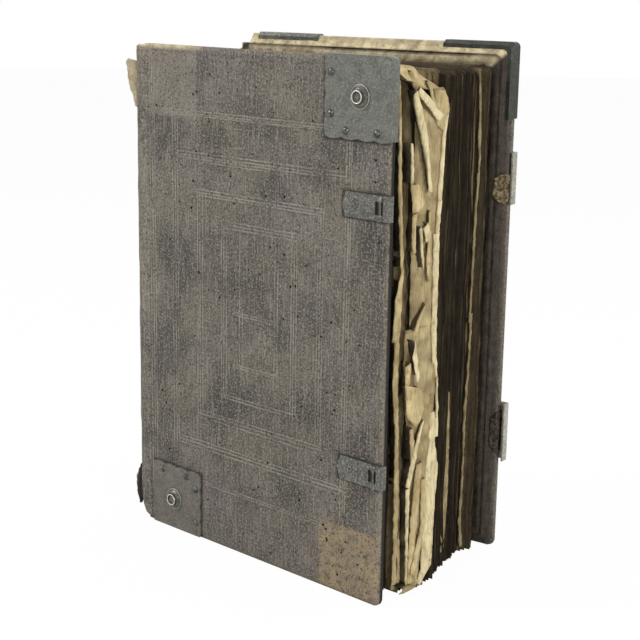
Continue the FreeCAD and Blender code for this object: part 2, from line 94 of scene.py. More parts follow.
def add(tree, kind, inputs=None, **settings):
    """One node with its settings. An input takes a value or another node's output socket."""
    item = tree.nodes.new(kind)
    for name, value in settings.items():
        setattr(item, name, value)
    for name, value in (inputs or {}).items():
        if isinstance(value, bpy.types.NodeSocket):
            tree.links.new(value, item.inputs[name])
        else:
            item.inputs[name].default_value = value
    return item


def mesh_piece(name, points, faces, material, side, marks=None, smooth=True, blended=False):
    """A mesh object at the origin, its points in millimetres in the frame of a cover or the back."""
    mesh = bpy.data.meshes.new(name)
    mesh.from_pydata([Vector(p) for p in points], [], faces)
    mesh.transform(Matrix.Scale(MM, 4) @ PLACES[side])
    mesh.update()
    for mark_name, values in (marks or {}).items():
        layer = mesh.attributes.new(mark_name, "FLOAT", "POINT")
        layer.data.foreach_set("value", np.asarray(values, np.float32).ravel())
    if smooth:
        mesh.shade_smooth()
    mesh.materials.append(material)
    piece = bpy.data.objects.new(name, mesh)
    bpy.context.scene.collection.objects.link(piece)
    if not blended:
        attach(piece, BODIES[side])
    return piece


def made_real(piece, modifier):
    """The object's mesh as its modifier leaves it, with the modifier gone."""
    before = piece.data
    seen_by = piece.evaluated_get(bpy.context.evaluated_depsgraph_get())
    piece.data = bpy.data.meshes.new_from_object(seen_by)
    piece.modifiers.remove(modifier)
    bpy.data.meshes.remove(before)
    return piece


def thicken(piece, depth):
    """Gives a surface its wall, inwards, and makes the result its mesh."""
    wall = piece.modifiers.new("wall", "SOLIDIFY")
    wall.thickness = depth * MM
    wall.offset = -1
    wall.use_even_offset = False
    return made_real(piece, wall)


print("helpers ready")

# %% [markdown]
# Nothing on an old book is straight, so three small functions make its waves. `ripple` is a wave
# along a line and `swell` one over a surface, both sums of a few sines with a fixed seed, and
# `step` goes smoothly from 0 to 1.

# %% Wave helpers
def ripple(place, seed, length, height, terms=5):
    """A smooth random wave along a line, made of sines near one length."""
    dice = np.random.default_rng(seed)
    total = np.zeros_like(np.asarray(place, float))
    for _ in range(terms):
        stretch = length * dice.uniform(0.5, 2.0)
        total += dice.uniform(0.4, 1.0) * np.sin(2 * np.pi * place / stretch + dice.uniform(0, 6.28))
    return total * height / math.sqrt(terms)


def swell(across, up, seed, length, height, terms=9):
    """The same over a surface."""
    dice = np.random.default_rng(seed)
    total = np.zeros(np.broadcast(across, up).shape)
    for _ in range(terms):
        turn, stretch = dice.uniform(0, np.pi), length * dice.uniform(0.6, 1.8)
        along = across * math.cos(turn) + up * math.sin(turn)
        total += dice.uniform(0.4, 1.0) * np.sin(2 * np.pi * along / stretch + dice.uniform(0, 6.28))
    return total * height / math.sqrt(terms)


def step(value, low, high):
    """0 below low, 1 above high, smooth between."""
    t = np.clip((value - low) / (high - low), 0, 1)
    return t * t * (3 - 2 * t)


def grid_faces(rows, columns, first=0, over=False):
    """Quads over a grid of points that are numbered row by row, turned over if asked."""
    starts = [first + r * columns + c for r in range(rows - 1) for c in range(columns - 1)]
    faces = [(a, a + 1, a + 1 + columns, a + columns) for a in starts]
    return [face[::-1] for face in faces] if over else faces


def rows_of(x, y, z):
    """Three grids as one list of points."""
    return np.stack([x.ravel(), y.ravel(), z.ravel()], 1)


def way_round(rows, columns):
    """The points along a grid's first row, its last column and back along its last row."""
    return ([c for c in range(columns)] + [r * columns + columns - 1 for r in range(1, rows)]
            + [(rows - 1) * columns + c for c in range(columns - 2, -1, -1)])


def kept_part(points, faces, marks):
    """Only the points that some face uses, with faces and marks to match."""
    used = sorted(set(k for face in faces for k in face))
    index = {old: new for new, old in enumerate(used)}
    faces = [tuple(index[k] for k in face) for face in faces]
    return points[used], faces, {name: values.ravel()[used] for name, values in marks.items()}


print("waves ready")

# %% [markdown]
# ## Camera, floor and light
#
# The camera stands where the photographer stood: about a metre from the fore-edge, to the right
# of the book and a little above it. The lamps are large and soft, so the leather's own grain and
# tooling draw the picture and not the shadows.

# %% Camera
camera_data = bpy.data.cameras.new("camera")
camera = bpy.data.objects.new("camera", camera_data)
bpy.context.scene.collection.objects.link(camera)
camera_data.sensor_width = 36
camera_data.lens = 79.875
camera_data.shift_x = 0.0006
camera_data.shift_y = -0.0091
camera_data.clip_start = 0.01
turn = (Matrix.Rotation(math.radians(42.57), 4, "Z")
        @ Matrix.Rotation(math.radians(-13.18), 4, "X")
        @ Matrix.Rotation(math.radians(-0.96), 4, "Y")
        @ Matrix.Rotation(math.pi / 2, 4, "X"))
camera.matrix_world = Matrix.Translation((0.71475, -0.7706, 0.4273)) @ turn
bpy.context.scene.camera = camera
print("camera at", [round(v, 3) for v in camera.location])

# %% Floor
floor_material = bpy.data.materials.new("pale_studio_floor")
floor_material.use_nodes = True
tree = floor_material.node_tree
tree.nodes.clear()
seen = add(tree, "ShaderNodeLightPath")
matte = add(tree, "ShaderNodeBsdfDiffuse", {"Color": linear("#f2f1ef")})
white = add(tree, "ShaderNodeEmission", {"Color": linear("#ffffff"), "Strength": 1.0})
# The floor glows for the camera alone, so it stays white and still keeps a soft shadow.
FLOOR_GLOW = 0.965
blended = add(tree, "ShaderNodeMixShader", {0: FLOOR_GLOW, 1: matte.outputs[0], 2: white.outputs[0]})
chosen = add(tree, "ShaderNodeMixShader",
             {0: seen.outputs["Is Camera Ray"], 1: matte.outputs[0], 2: blended.outputs[0]})
add(tree, "ShaderNodeOutputMaterial", {"Surface": chosen.outputs[0]})
bpy.ops.mesh.primitive_circle_add(vertices=64, radius=6, fill_type="NGON")
floor = bpy.context.object
floor.name = "floor"
floor.data.materials.append(floor_material)
print("floor ready")

# %% World and lamps
world = bpy.data.worlds.new("studio")
bpy.context.scene.world = world
world.use_nodes = True
tree = world.node_tree
tree.nodes.clear()
seen = add(tree, "ShaderNodeLightPath")
rays = seen.outputs["Is Camera Ray"]
for kind in ("Is Glossy Ray", "Is Transmission Ray"):
    rays = add(tree, "ShaderNodeMath", {0: rays, 1: seen.outputs[kind]}, operation="MAXIMUM").outputs[0]
fill = add(tree, "ShaderNodeBackground", {"Color": linear("#f4f3f0"), "Strength": 0.45})
backdrop = add(tree, "ShaderNodeBackground", {"Color": linear("#ffffff"), "Strength": 1.0})
both = add(tree, "ShaderNodeMixShader",
           {0: rays, 1: fill.outputs[0], 2: backdrop.outputs[0]})
add(tree, "ShaderNodeOutputWorld", {"Surface": both.outputs[0]})


def lamp(name, place, target, width, power):
    """A square soft box that faces a point."""
    data = bpy.data.lights.new(name, "AREA")
    data.size = width
    data.energy = power
    item = bpy.data.objects.new(name, data)
    item.location = place
    item.rotation_euler = (Vector(target) - Vector(place)).to_track_quat("-Z", "Y").to_euler()
    bpy.context.scene.collection.objects.link(item)


lamp("key_box", (-1.25, -1.25, 1.45), (0, 0, 0.2), 0.5, 26)
lamp("side_box", (1.9, -0.6, 0.8), (0.1, 0, 0.2), 0.7, 25)
lamp("top_box", (0.2, 0.5, 1.8), (0, 0, 0.2), 1.2, 13)
bpy.context.scene.view_settings.view_transform = "Standard"
print("studio ready")


# %% [markdown]
# ## Finishes
#
# Every material is a small tree of nodes that reads Object coordinates, so its pattern has real
# sizes: one unit of the coordinate is a metre, and a feature of s millimetres needs a noise scale
# of 1000 / s. A few marks are painted on the points of the meshes as they are made, such as where
# a tool ran or where a board's edge is rubbed, and the materials read them as attributes. The
# real grain, fibres and specks are finer than the picture can show, so they are drawn coarser
# here, at one to two millimetres.

# %% One start for every material
def finish(name, roughness, metallic=0.0, level=0.5):
    """A new material: its tree, the coordinates, and the shader with its constants set."""
    material = bpy.data.materials.new(name)
    material.use_nodes = True
    tree = material.node_tree
    tree.nodes.clear()
    place = add(tree, "ShaderNodeTexCoord").outputs["Object"]
    shader = add(tree, "ShaderNodeBsdfPrincipled",
                 {"Roughness": roughness, "Metallic": metallic, "Specular IOR Level": level})
    add(tree, "ShaderNodeOutputMaterial", {"Surface": shader.outputs[0]})
    return material, tree, place, shader


def spots(tree, place, size, low, high, detail=3.0, stretch=None):
    """A cloudy pattern of one real size in millimetres, spread from 0 to 1 between two levels.

    A stretch squeezes it along an axis, which makes a grain or a streak of it.
    """
    if stretch:
        place = add(tree, "ShaderNodeMapping", {"Vector": place, "Scale": stretch}).outputs[0]
    cloud = add(tree, "ShaderNodeTexNoise", {"Vector": place, "Scale": 1000 / size, "Detail": detail})
    return add(tree, "ShaderNodeMapRange",
               {"Value": cloud.outputs[0], "From Min": low, "From Max": high}).outputs[0]


def coats(tree, colour, *layers):
    """A first colour with others laid over it in turn, each with where it lies and how strongly.

    A colour is a hex code or a socket. Where is a pattern's socket or the name of a mark that was
    painted on the mesh's points.
    """
    colour = linear(colour)
    for over, where, amount in layers:
        if isinstance(where, str):
            where = add(tree, "ShaderNodeAttribute", attribute_name=where).outputs["Fac"]
        if amount < 1:
            where = add(tree, "ShaderNodeMath", {0: where, 1: amount}, operation="MULTIPLY").outputs[0]
        over = linear(over) if isinstance(over, str) else over
        colour = add(tree, "ShaderNodeMix", {0: where, 6: colour, 7: over},
                     data_type="RGBA").outputs[2]
    return colour


def surface(tree, shader, colour, *layers):
    """Gives the shader its colour, and bump from patterns, each with its depth in millimetres."""
    tree.links.new(colour, shader.inputs["Base Color"])
    normal = None
    for height, depth in layers:
        inputs = {"Height": height, "Strength": 1.0, "Distance": depth * MM}
        if normal is not None:
            inputs["Normal"] = normal
        normal = add(tree, "ShaderNodeBump", inputs).outputs[0]
    tree.links.new(normal, shader.inputs["Normal"])


print("finish helpers ready")

# %% [markdown]
# ### Leather
#
# Tanned calf or pig, five centuries old. Its dye has faded to grey-brown in clouds as wide as a
# hand. The grain layer is rubbed to a fine light speckle of about a millimetre, over dark pores.
# Marks on the mesh say where a tool ran (`tooled`), with painted shade along both sides of its
# groove and in the creases of the back, where a lost plate kept the colour of fresh leather
# (`bare`) or left a paler square (`pale`), where the edges are rubbed (`worn`), where it is turned
# in and brown (`inside`), and where it is split to its pale fibres (`split`). A near-black mark
# paints shade round the plates, in the slit under the rear turn-in and inside the tail cap, and
# on the front board's fore-edge it is partly soot and partly painted shade.

# %% Leather material
LEATHER_MARKS = ("tooled", "crease_shade", "bare", "pale", "worn", "inside", "split", "soot_and_shade")


def calf(name, base, cloud, shade):
    """Faded tanned leather, with every mark that a cover, the back or a flap can carry."""
    material, tree, place, shader = finish(name, 0.66, level=0.3)
    grain = spots(tree, place, 1.5, 0.50, 0.66, 4)
    pores = spots(tree, place, 1.7, 0.55, 0.66, 4)
    brushed = spots(tree, place, 1.3, 0.50, 0.66, 3, (1, 1, 0.05))
    tan = coats(tree, "#82725a", ("#998564", spots(tree, place, 14, 0.35, 0.65, 5), 1),
                ("#4d4337", spots(tree, place, 6, 0.50, 0.66, 5), 0.7))
    brown = coats(tree, "#231d17", ("#3a3128", spots(tree, place, 6, 0.38, 0.64, 6), 1),
                  ("#5a4d3c", brushed, 0.3))
    fibre = coats(tree, "#b6a581", ("#d8c8a2", spots(tree, place, 7, 0.40, 0.62, 6), 1),
                  ("#6a5b44", spots(tree, place, 3, 0.54, 0.68, 4), 0.5))
    colour = coats(tree, base,
                   (cloud, spots(tree, place, 80, 0.40, 0.60, 4), 1),
                   (shade, spots(tree, place, 58, 0.47, 0.60, 6), 0.85),
                   ("#6e665a", spots(tree, place, 46, 0.50, 0.64, 4), 0.55),
                   ("#645d5e", spots(tree, place, 39, 0.52, 0.66, 4), 0.45),
                   ("#3f3a36", spots(tree, place, 6, 0.46, 0.70, 6), 0.45),
                   ("#8d877c", brushed, 0.42), ("#322e2a", "crease_shade", 0.62),
                   ("#a19b8f", "tooled", 0.72), ("#8a8379", "pale", 0.40), (tan, "bare", 1),
                   ("#857865", "worn", 0.55), ("#979185", grain, 0.70), ("#24211e", pores, 0.72),
                   (brown, "inside", 1), (fibre, "split", 1), ("#16120f", "soot_and_shade", 1))
    surface(tree, shader, colour, (grain, 0.20), (pores, -0.20),
            (spots(tree, place, 8, 0.3, 0.7, 3), 0.40))
    return material


cover_leather = calf("faded_tanned_calf", "#4b4740", "#656058", "#312e2c")
print("leather:", cover_leather.name)

# %% [markdown]
# ### Paper
#
# Rag paper, made in a mould from linen. The leaves are cream inside, and their edges have taken
# up soot and handling until they are nearly black. The mark `tone` is 1 on a clean leaf and 0 on
# a sooty one, and it is also set near black as painted shade where leaves lie in shadow. A mark
# along the cut edge paints a thin line of shade, and `pale` is 1 on a leaf that was never handled.

# %% Paper materials
def paper(name, clean, old, dark, brown):
    """Rag paper, clean or sooty as the mark says, with its fibres along the height."""
    material, tree, place, shader = finish(name, 0.86, level=0.2)
    fibres = spots(tree, place, 1.4, 0.45, 0.68, 3, (1, 1, 0.12))
    leaf = coats(tree, clean, (old, spots(tree, place, 16, 0.35, 0.65, 5), 1), ("#d8cca6", "pale", 1),
                 ("#6f5a3a", spots(tree, place, 3, 0.52, 0.66, 5, (1, 1, 0.3)), 0.4),
                 ("#7a5a34", spots(tree, place, 5, 0.60, 0.72, 5), 0.5), ("#86704a", fibres, 0.35))
    # The leaf's tone is also set near black for painted shade, and the last layer paints a thin line of
    # shade along the cut edge.
    colour = coats(tree, dark, (brown, spots(tree, place, 8, 0.38, 0.66, 5), 1),
                   ("#4c4136", fibres, 0.55), (leaf, "tone", 1), ("#2a221a", "cut_edge_shade", 0.75))
    surface(tree, shader, colour, (spots(tree, place, 1.2, 0.3, 0.7, 3), 0.08),
            (spots(tree, place, 5, 0.3, 0.7, 3), 0.45))
    return material


rag_paper = paper("handmade_rag_paper", "#cbb88a", "#a08d64", "#15110d", "#2b231b")
lining_paper = paper("pasted_rag_paper", "#8d7c5e", "#6f6048", "#3a2f24", "#4a3d2f")
print("paper:", rag_paper.name, lining_paper.name)

# %% [markdown]
# ### Metal, wood, cord and strap
#
# The fittings are cast and hammered brass under a dull grey-green tarnish, so little of the
# metal's own colour is left and the shader is only partly metallic. On the bosses a light mark
# stands for metal rubbed by a hand or a shelf together with a painted highlight, and a dark mark
# paints the shade in their hollows. The boards are oak, the bands hemp cord, and the straps were
# leather whose surface has flaked; the lower strap is painted near black as shade. Holes are
# near-black discs, painted shade in place of their hollows.

# %% Metal, wood and cord materials
def tarnished(name, base, patch, rubbed, wear, metallic, roughness):
    """Brass under its tarnish. Wear is how much of it is rubbed back in specks."""
    material, tree, place, shader = finish(name, roughness, metallic)
    # The two last marks are read only on the bosses: a light one for rubbed metal with a painted
    # highlight, and a near-black one for painted shade in their hollows.
    colour = coats(tree, base, (patch, spots(tree, place, 10, 0.38, 0.62, 5), 1),
                   (rubbed, spots(tree, place, 1.5, 0.50, 0.66, 4), wear),
                   ("#2f2f2b", spots(tree, place, 2.2, 0.54, 0.66, 5), 0.45),
                   ("#d9d6c8", "rub_and_highlight", 1), ("#14120f", "soot_and_shade", 1))
    surface(tree, shader, colour, (spots(tree, place, 7, 0.3, 0.7, 2), 0.30),
            (spots(tree, place, 1.3, 0.3, 0.7, 3), 0.10))
    return material


def plain(name, first, second, size, roughness, depth, stretch=None):
    """Two colours in clouds, with the same pattern as relief. A stretch makes it a grain."""
    material, tree, place, shader = finish(name, roughness, level=0.25)
    clouds = spots(tree, place, size, 0.38, 0.62, 5, stretch)
    surface(tree, shader, coats(tree, first, (second, clouds, 1)), (clouds, depth))
    return material


head_brass = tarnished("tarnished_sheet_brass", "#545650", "#62635c", "#8f8f83", 0.45, 0.25, 0.5)
tail_brass = tarnished("dusty_sheet_brass", "#55514b", "#635f57", "#8a8579", 0.45, 0.2, 0.55)
# The rear head corner is given a near-black brass, much darker than the other fittings.
dark_brass = tarnished("darkest_sheet_brass", "#1c1d17", "#292a22", "#4f4f43", 0.40, 0.25, 0.5)
worn_brass = tarnished("rubbed_cast_brass", "#484944", "#56574f", "#9a998c", 0.35, 0.4, 0.38)
catch_brass = tarnished("hammered_catch_brass", "#4a4b46", "#5b5b54", "#a3a297", 0.50, 0.3, 0.45)
nail_brass = tarnished("domed_nail_brass", "#34352f", "#4a4b44", "#b5b4a8", 0.35, 0.6, 0.3)
bare_tin = tarnished("rubbed_tinned_iron", "#8c8b80", "#a3a194", "#d2cfc0", 0.60, 0.35, 0.42)
oak = plain("quarter_sawn_oak", "#5d4830", "#3f2f1e", 3, 0.8, 0.2, (1, 1, 0.08))
hemp = plain("tanned_hemp_cord", "#8c7650", "#5e4d33", 1.2, 0.9, 0.15)
linen = plain("waxed_linen_thread", "#a08c66", "#6f5d41", 0.9, 0.85, 0.1, (1, 1, 0.2))
strap_hide = plain("flaked_strap_leather", "#85755a", "#3a2f22", 2.2, 0.85, 0.5)
shaded_strap_hide = plain("shaded_strap_leather", "#15110e", "#4b4136", 2.6, 0.8, 0.6)
# Near-black discs in place of holes: painted shade for their hollows.
hole_shade = plain("painted_hole_shade", "#0b0908", "#14100d", 1, 1.0, 0.0)
print("materials:", len(bpy.data.materials))

# %% What each solid of the frame is made of
FINISHES = [("board", oak), ("pastedown", lining_paper), ("cord", hemp), ("endband", linen),
            ("rear_head_fore_corner", dark_brass), ("catch_plate", catch_brass),
            ("front_tail_corner", tail_brass), ("strap_anchor", bare_tin), ("boss", worn_brass),
            ("pin", worn_brass)]
for name, item in nodes.items():
    item.data.materials.clear()
    fitting = next((material for word, material in FINISHES if word in name), head_brass)
    item.data.materials.append(fitting)
print("solids dressed:", len(nodes))


# %% [markdown]
# ## The leather on the covers
#
# A cover's leather is one skin: the outside face, the narrow edge, the bevel inside and the
# turn-in, whose knife cut is never straight. The face is a grid whose lines crowd together where
# a fillet ran, so that every blind line is a real groove up to 0.3 mm deep. The grid then goes
# round the three free edges in rings.

# %% Where the fillets ran
# Upright lines: distance from the joint, then tail end and head end.
UPRIGHT = [(1.6, 4, 376), (5.0, 4, 376), (8.0, 8, 374), (10.5, 8, 374), (31.0, 58, 333),
           (34.0, 58, 331), (36.5, 62, 329), (58.5, 98, 278), (61.0, 100, 276), (64.0, 102, 274),
           (84.5, 119, 256), (87.0, 121, 254), (90.0, 122, 252), (104.0, 146, 248),
           (107.0, 146, 190), (140.0, 148, 246), (143.0, 148, 244), (156.5, 119, 256),
           (159.0, 121, 254), (161.5, 122, 252), (181.5, 98, 278), (184.0, 100, 276),
           (186.5, 102, 274), (206.5, 55, 326), (209.0, 57, 324), (211.0, 59, 322)]
# Level lines: height, then where they begin and end.
LEVEL = [(333.0, 25, 186), (331.0, 22, 186), (329.5, 25, 182), (302.5, 35, 200), (300.0, 35, 205),
         (298.0, 36, 200), (296.0, 60, 130), (275.5, 57, 184), (273.0, 57, 186), (271.0, 59, 180),
         (255.0, 80, 162), (252.5, 84, 162), (250.0, 88, 160), (188.0, 102, 141),
         (186.0, 104, 141), (148.0, 104, 142), (146.0, 104, 140), (122.5, 84, 160),
         (120.0, 86, 158), (104.5, 62, 184), (102.0, 60, 186), (99.0, 58, 184), (79.5, 40, 208),
         (77.0, 38, 210), (74.0, 40, 206), (47.5, 60, 186), (45.5, 62, 184)]
# Slanting lines of the middle panel: two ends each.
SLANTED = [((104, 246), (141, 190)), ((107, 246), (143, 192)), ((108, 186), (132, 158)),
           ((111, 186), (134, 160)), ((157, 248), (146, 230)), ((106, 148), (118, 166))]
# Short tooled strokes where the bands meet the joint.
STROKES = [((-2, 319), (14, 312)), ((-2, 305), (14, 311)), ((-2, 257), (12, 252)),
           ((-2, 246), (12, 250)), ((-2, 199), (13, 192)), ((-2, 186), (13, 190))]
print("fillets:", len(UPRIGHT) + len(LEVEL) + len(SLANTED))


# %% Depth and colour of a blind line
# Millimetres: how wide apart the grid's lines are, how near each other they may come, how far
# the painted shade beside a tooled line is from its middle, and where the grid needs lines for it.
WIDE_APART, NEAREST, SIDE_OF_LINE = 6.0, 0.36, 1.05
ABOUT_LINE = (-1.8, -SIDE_OF_LINE, -0.4, 0.0, 0.4, SIDE_OF_LINE, 1.8)


def stations(length, lines, edges):
    """Grid lines along one side: even ones, a few close together at each tooled line, and edges."""
    even = list(np.linspace(0, length, int(length / WIDE_APART) + 1))
    close = [line + shift for line in lines for shift in ABOUT_LINE]
    every = sorted(v for v in even + close + edges + [CORNER, length - CORNER] if 0 <= v <= length)
    kept = [every[0]]
    for value in every[1:]:
        if value - kept[-1] >= NEAREST:
            kept.append(value)
    kept[-1] = length
    return np.array(kept)


def pressed(gap, width=0.42):
    """How deep a fillet has pressed at this distance from its middle."""
    return np.exp(-(gap / width) ** 2)


def thrown_up(gap):
    """The painted shade at the sides of a line, a millimetre out from its middle."""
    return np.exp(-((np.abs(gap) - SIDE_OF_LINE) / 0.4) ** 2)


def tooling(x, z, seed):
    """How strongly all fillets show at each point: their grooves and the painted shade at their sides."""
    groove = np.zeros(np.broadcast(x, z).shape)
    sides = np.zeros_like(groove)
    lines = [(x, z, line) for line in UPRIGHT] + [(z, x, line) for line in LEVEL]
    for number, (across, along, (middle, low, high)) in enumerate(lines):
        reach = step(along, low - 4, low + 1) * (1 - step(along, high - 1, high + 4))
        force = reach * np.clip(0.72 + 0.6 * ripple(along, seed + number, 60, 0.5), 0.2, 1)
        groove = np.maximum(groove, pressed(across - middle) * force)
        sides = np.maximum(sides, thrown_up(across - middle) * force)
    return groove, sides * (1 - groove)


def slants(x, z, lines, width):
    """The same for lines that run from one point to another."""
    depth = np.zeros(np.broadcast(x, z).shape)
    for (ax, az), (bx, bz) in lines:
        long_ = math.hypot(bx - ax, bz - az)
        ux, uz = (bx - ax) / long_, (bz - az) / long_
        along = (x - ax) * ux + (z - az) * uz
        gap = (x - ax) * uz - (z - az) * ux
        inside = step(along, -2, 1) * (1 - step(along, long_ - 1, long_ + 2))
        depth = np.maximum(depth, pressed(gap, width) * inside)
    return depth


print("tools ready")


# %% The face of a cover
SEEDS = {"front": 11, "rear": 71}
SIZES = {"front": (WIDE, TALL), "rear": (REAR_WIDE, REAR_TALL)}
# The metal on the front cover: from x to x, and from z to z.
PLATES = [(186.2, 245.5, 325.0, 381.2), (7.0, 62.1, 0.0, 52.3), (204.0, 245.5, 273.4, 290.6),
          (204.0, 245.5, 86.7, 103.9)]


def from_edge(side, x, z):
    """How far a point of a cover is from its nearest free edge."""
    wide, tall = SIZES[side]
    return np.minimum(np.minimum(wide - x, z), tall - z)


def face_lines(side, x, z):
    """The grooves of all tools on a cover, and the painted shade beside the fillets."""
    groove, sides = tooling(x, z, SEEDS[side])
    if side == "front":
        groove = np.maximum(groove, 0.35 * slants(x, z, SLANTED, 0.7))
    return groove, sides


def face_depth(side, x, z):
    """How far inside the plane of the cover its leather lies at a point."""
    flat = step(from_edge(side, x, z), 0.0, 2.2)
    groove, _ = face_lines(side, x, z)
    rise = -0.30 * groove + swell(x, z, SEEDS[side], 70, 0.10)
    return 0.55 * (1 - flat) ** 2 - rise * flat


def plate_shadow(x, z):
    """A painted shadow in the corner between the leather and a metal plate."""
    shadow = np.zeros_like(x)
    for x0, x1, z0, z1 in PLATES:
        gap = np.hypot(np.clip(x0 - x, 0, None) + np.clip(x - x1, 0, None),
                       np.clip(z0 - z, 0, None) + np.clip(z - z1, 0, None))
        shadow = np.maximum(shadow, 1 - step(gap + swell(x, z, 9, 8, 0.4), 0.4, 2.4))
    return shadow


def face_marks(side, x, z):
    """The marks on the face of a cover."""
    seed = SEEDS[side]
    groove, sides = face_lines(side, x, z)
    broken = swell(x, z, seed + 3, 30, 0.45)
    wobble = swell(x, z, seed + 2, 26, 1.0)
    marks = {name: np.zeros_like(x) for name in LEATHER_MARKS}
    marks["tooled"] = np.clip(groove * (0.85 + broken), 0, 1)
    # Painted shade along both sides of each fillet's groove.
    marks["crease_shade"] = np.clip(sides * (0.95 + broken), 0, 1)
    marks["worn"] = np.clip(1.0 - step(from_edge(side, x, z), 0.2, 2.6 + 1.2 * wobble), 0, 1) * 0.8
    if side == "front":
        ragged = swell(x, z, 5, 12, 1.6)
        patch = step(x + ragged, 186, 188.5) * (1 - step(z + ragged, 50.5, 53))
        marks["bare"] = patch * (0.78 + swell(x, z, 6, 17, 0.25))
        ghost = step(x, 3, 5) * (1 - step(x + ragged * 0.3, 56, 60))
        marks["pale"] = ghost * step(z + ragged * 0.3, 325, 329) * (1 - step(z, 374, 377))
        marks["tooled"] = np.maximum(marks["tooled"], 0.5 * slants(x, z, STROKES, 0.7))
        # Along the head near the joint the leather is rubbed through to its fibres.
        frayed = step(z + swell(x, z, 8, 9, 0.9), 377.2, 378.6) * (1 - step(x, 52, 66))
        marks["split"] = np.clip(frayed, 0, 1)
        # A painted shadow round the metal plates.
        marks["soot_and_shade"] = 0.75 * plate_shadow(x, z)
    return marks


print("face ready")


# %% [markdown]
# The border of the skin is one long list of points along the tail, the fore-edge and the head.
# Each ring after it lies a little further round the board. On the rear cover the leather is torn
# along the head: it is split to its fibres on the edge and the bevel, and its turn-in has lifted
# off the board and left a slit, painted dark as shade.

# %% Edges, bevel and turn-in
# Inset from the edge, depth from the outside, rubbed, inside, split on the rear head, slit.
BORDER = [(0.0, 0.9, 0.9, 0.0, 0.6, 0), (0.0, 2.6, 0.7, 0.1, 0.9, 0), (0.0, 4.2, 0.6, 0.2, 1.0, 0),
          (0.15, EDGE, 0.7, 0.4, 1.0, 0), (0.8, EDGE + 0.56, 0.5, 0.6, 0.7, 0),
          (3.5, EDGE + 2.45, 0.0, 1.0, 0.9, 0), (6.6, EDGE + 4.6, 0.0, 1.0, 1.0, 0),
          (7.6, EDGE + 5.9, 0.0, 1.0, 1.0, 0), (8.2, EDGE + 5.2, 0.0, 1.0, 0.2, 1),
          (BEVEL - 0.4, CASE - 0.35, 0.2, 1.0, 0.4, 0.6), (BEVEL + 0.8, CASE, 0.1, 1.0, 0.8, 0),
          (None, CASE, 0.2, 1.0, 0.6, 0)]


def corner_warp(x, z, wide, tall, inset=0.0):
    """Pushes the two square fore-edge corners of a grid on to their arcs."""
    u = np.clip((x - (wide - inset - CORNER)) / CORNER, 0, 1)
    for at_head in (False, True):
        edge = tall - inset if at_head else inset
        sign = 1 if at_head else -1
        v = np.clip(sign * (z - (edge - sign * CORNER)) / CORNER, 0, 1)
        both = (u > 0) & (v > 0)
        x = np.where(both, wide - inset - CORNER + CORNER * u * np.sqrt(1 - v * v / 2), x)
        z = np.where(both, edge - sign * CORNER + sign * CORNER * v * np.sqrt(1 - u * u / 2), z)
    return x, z


def border_ring(side, number, bx, bz, run):
    """Points and marks of one ring round the edge of a board."""
    wide, tall = SIZES[side]
    seed = SEEDS[side]
    inset, depth, rubbed, inner, fibres, slit = BORDER[number]
    if inset is None:
        inset = BEVEL + 7 + ripple(run, seed + 4, 40, 1.6) + ripple(run, seed + 5, 7, 0.5)
    rx, rz = corner_warp(bx * (wide - inset) / wide, inset + bz * (tall - 2 * inset) / tall,
                         wide, tall, inset)
    bulge = swell(run, 9.0 * number, seed + 6, 16, 0.18) if 2 < number < 7 else 0 * run
    marks = {name: 0 * bx for name in LEATHER_MARKS}
    marks["worn"] = rubbed * (0.5 + ripple(run, seed + 7, 14, 0.5))
    marks["inside"] = inner + 0 * bx
    if side == "rear":
        # The rear cover is drawn from its head, so its head is at z = 0.
        head = (bz < 3) * (0.85 + ripple(run, seed + 8, 12, 0.3))
        torn = (bz < 3) * step(bx, 60, 85) * (1 - step(bx, 205, 222))
        marks["split"] = fibres * head
        # The slit under the lifted turn-in is painted near black, as shade.
        marks["soot_and_shade"] = slit * torn * (0.6 + ripple(run, seed + 9, 9, 0.35))
        bulge = bulge + 0.9 * torn * (number == 7) - 0.8 * torn * (number in (8, 9))
    else:
        # The front board's fore-edge is near black, partly dirt from handling and partly painted shade;
        # its bevel and turn-in are darkened by half.
        marks["soot_and_shade"] = 1.0 * (0 < number < 5) * (bx > wide - 3) + 0.5 * (number > 4)
        bulge = bulge - 0.9 * (number == 7) * (1 + 0 * bx) + 0.4 * (number == 8)
    points = np.stack([rx, depth + bulge, rz], 1)
    return points, {name: np.clip(values, 0, 1) for name, values in marks.items()}


def beside_plates(first, side):
    """Grid lines just outside the metal, so that the painted shadow beside it keeps its shape."""
    plates = PLATES if side == "front" else []
    edges = [(plate[first + k], way) for plate in plates for k, way in ((0, -1), (1, 1))]
    return [edge + way * shift for edge, way in edges for shift in (0.2, 1.8)]


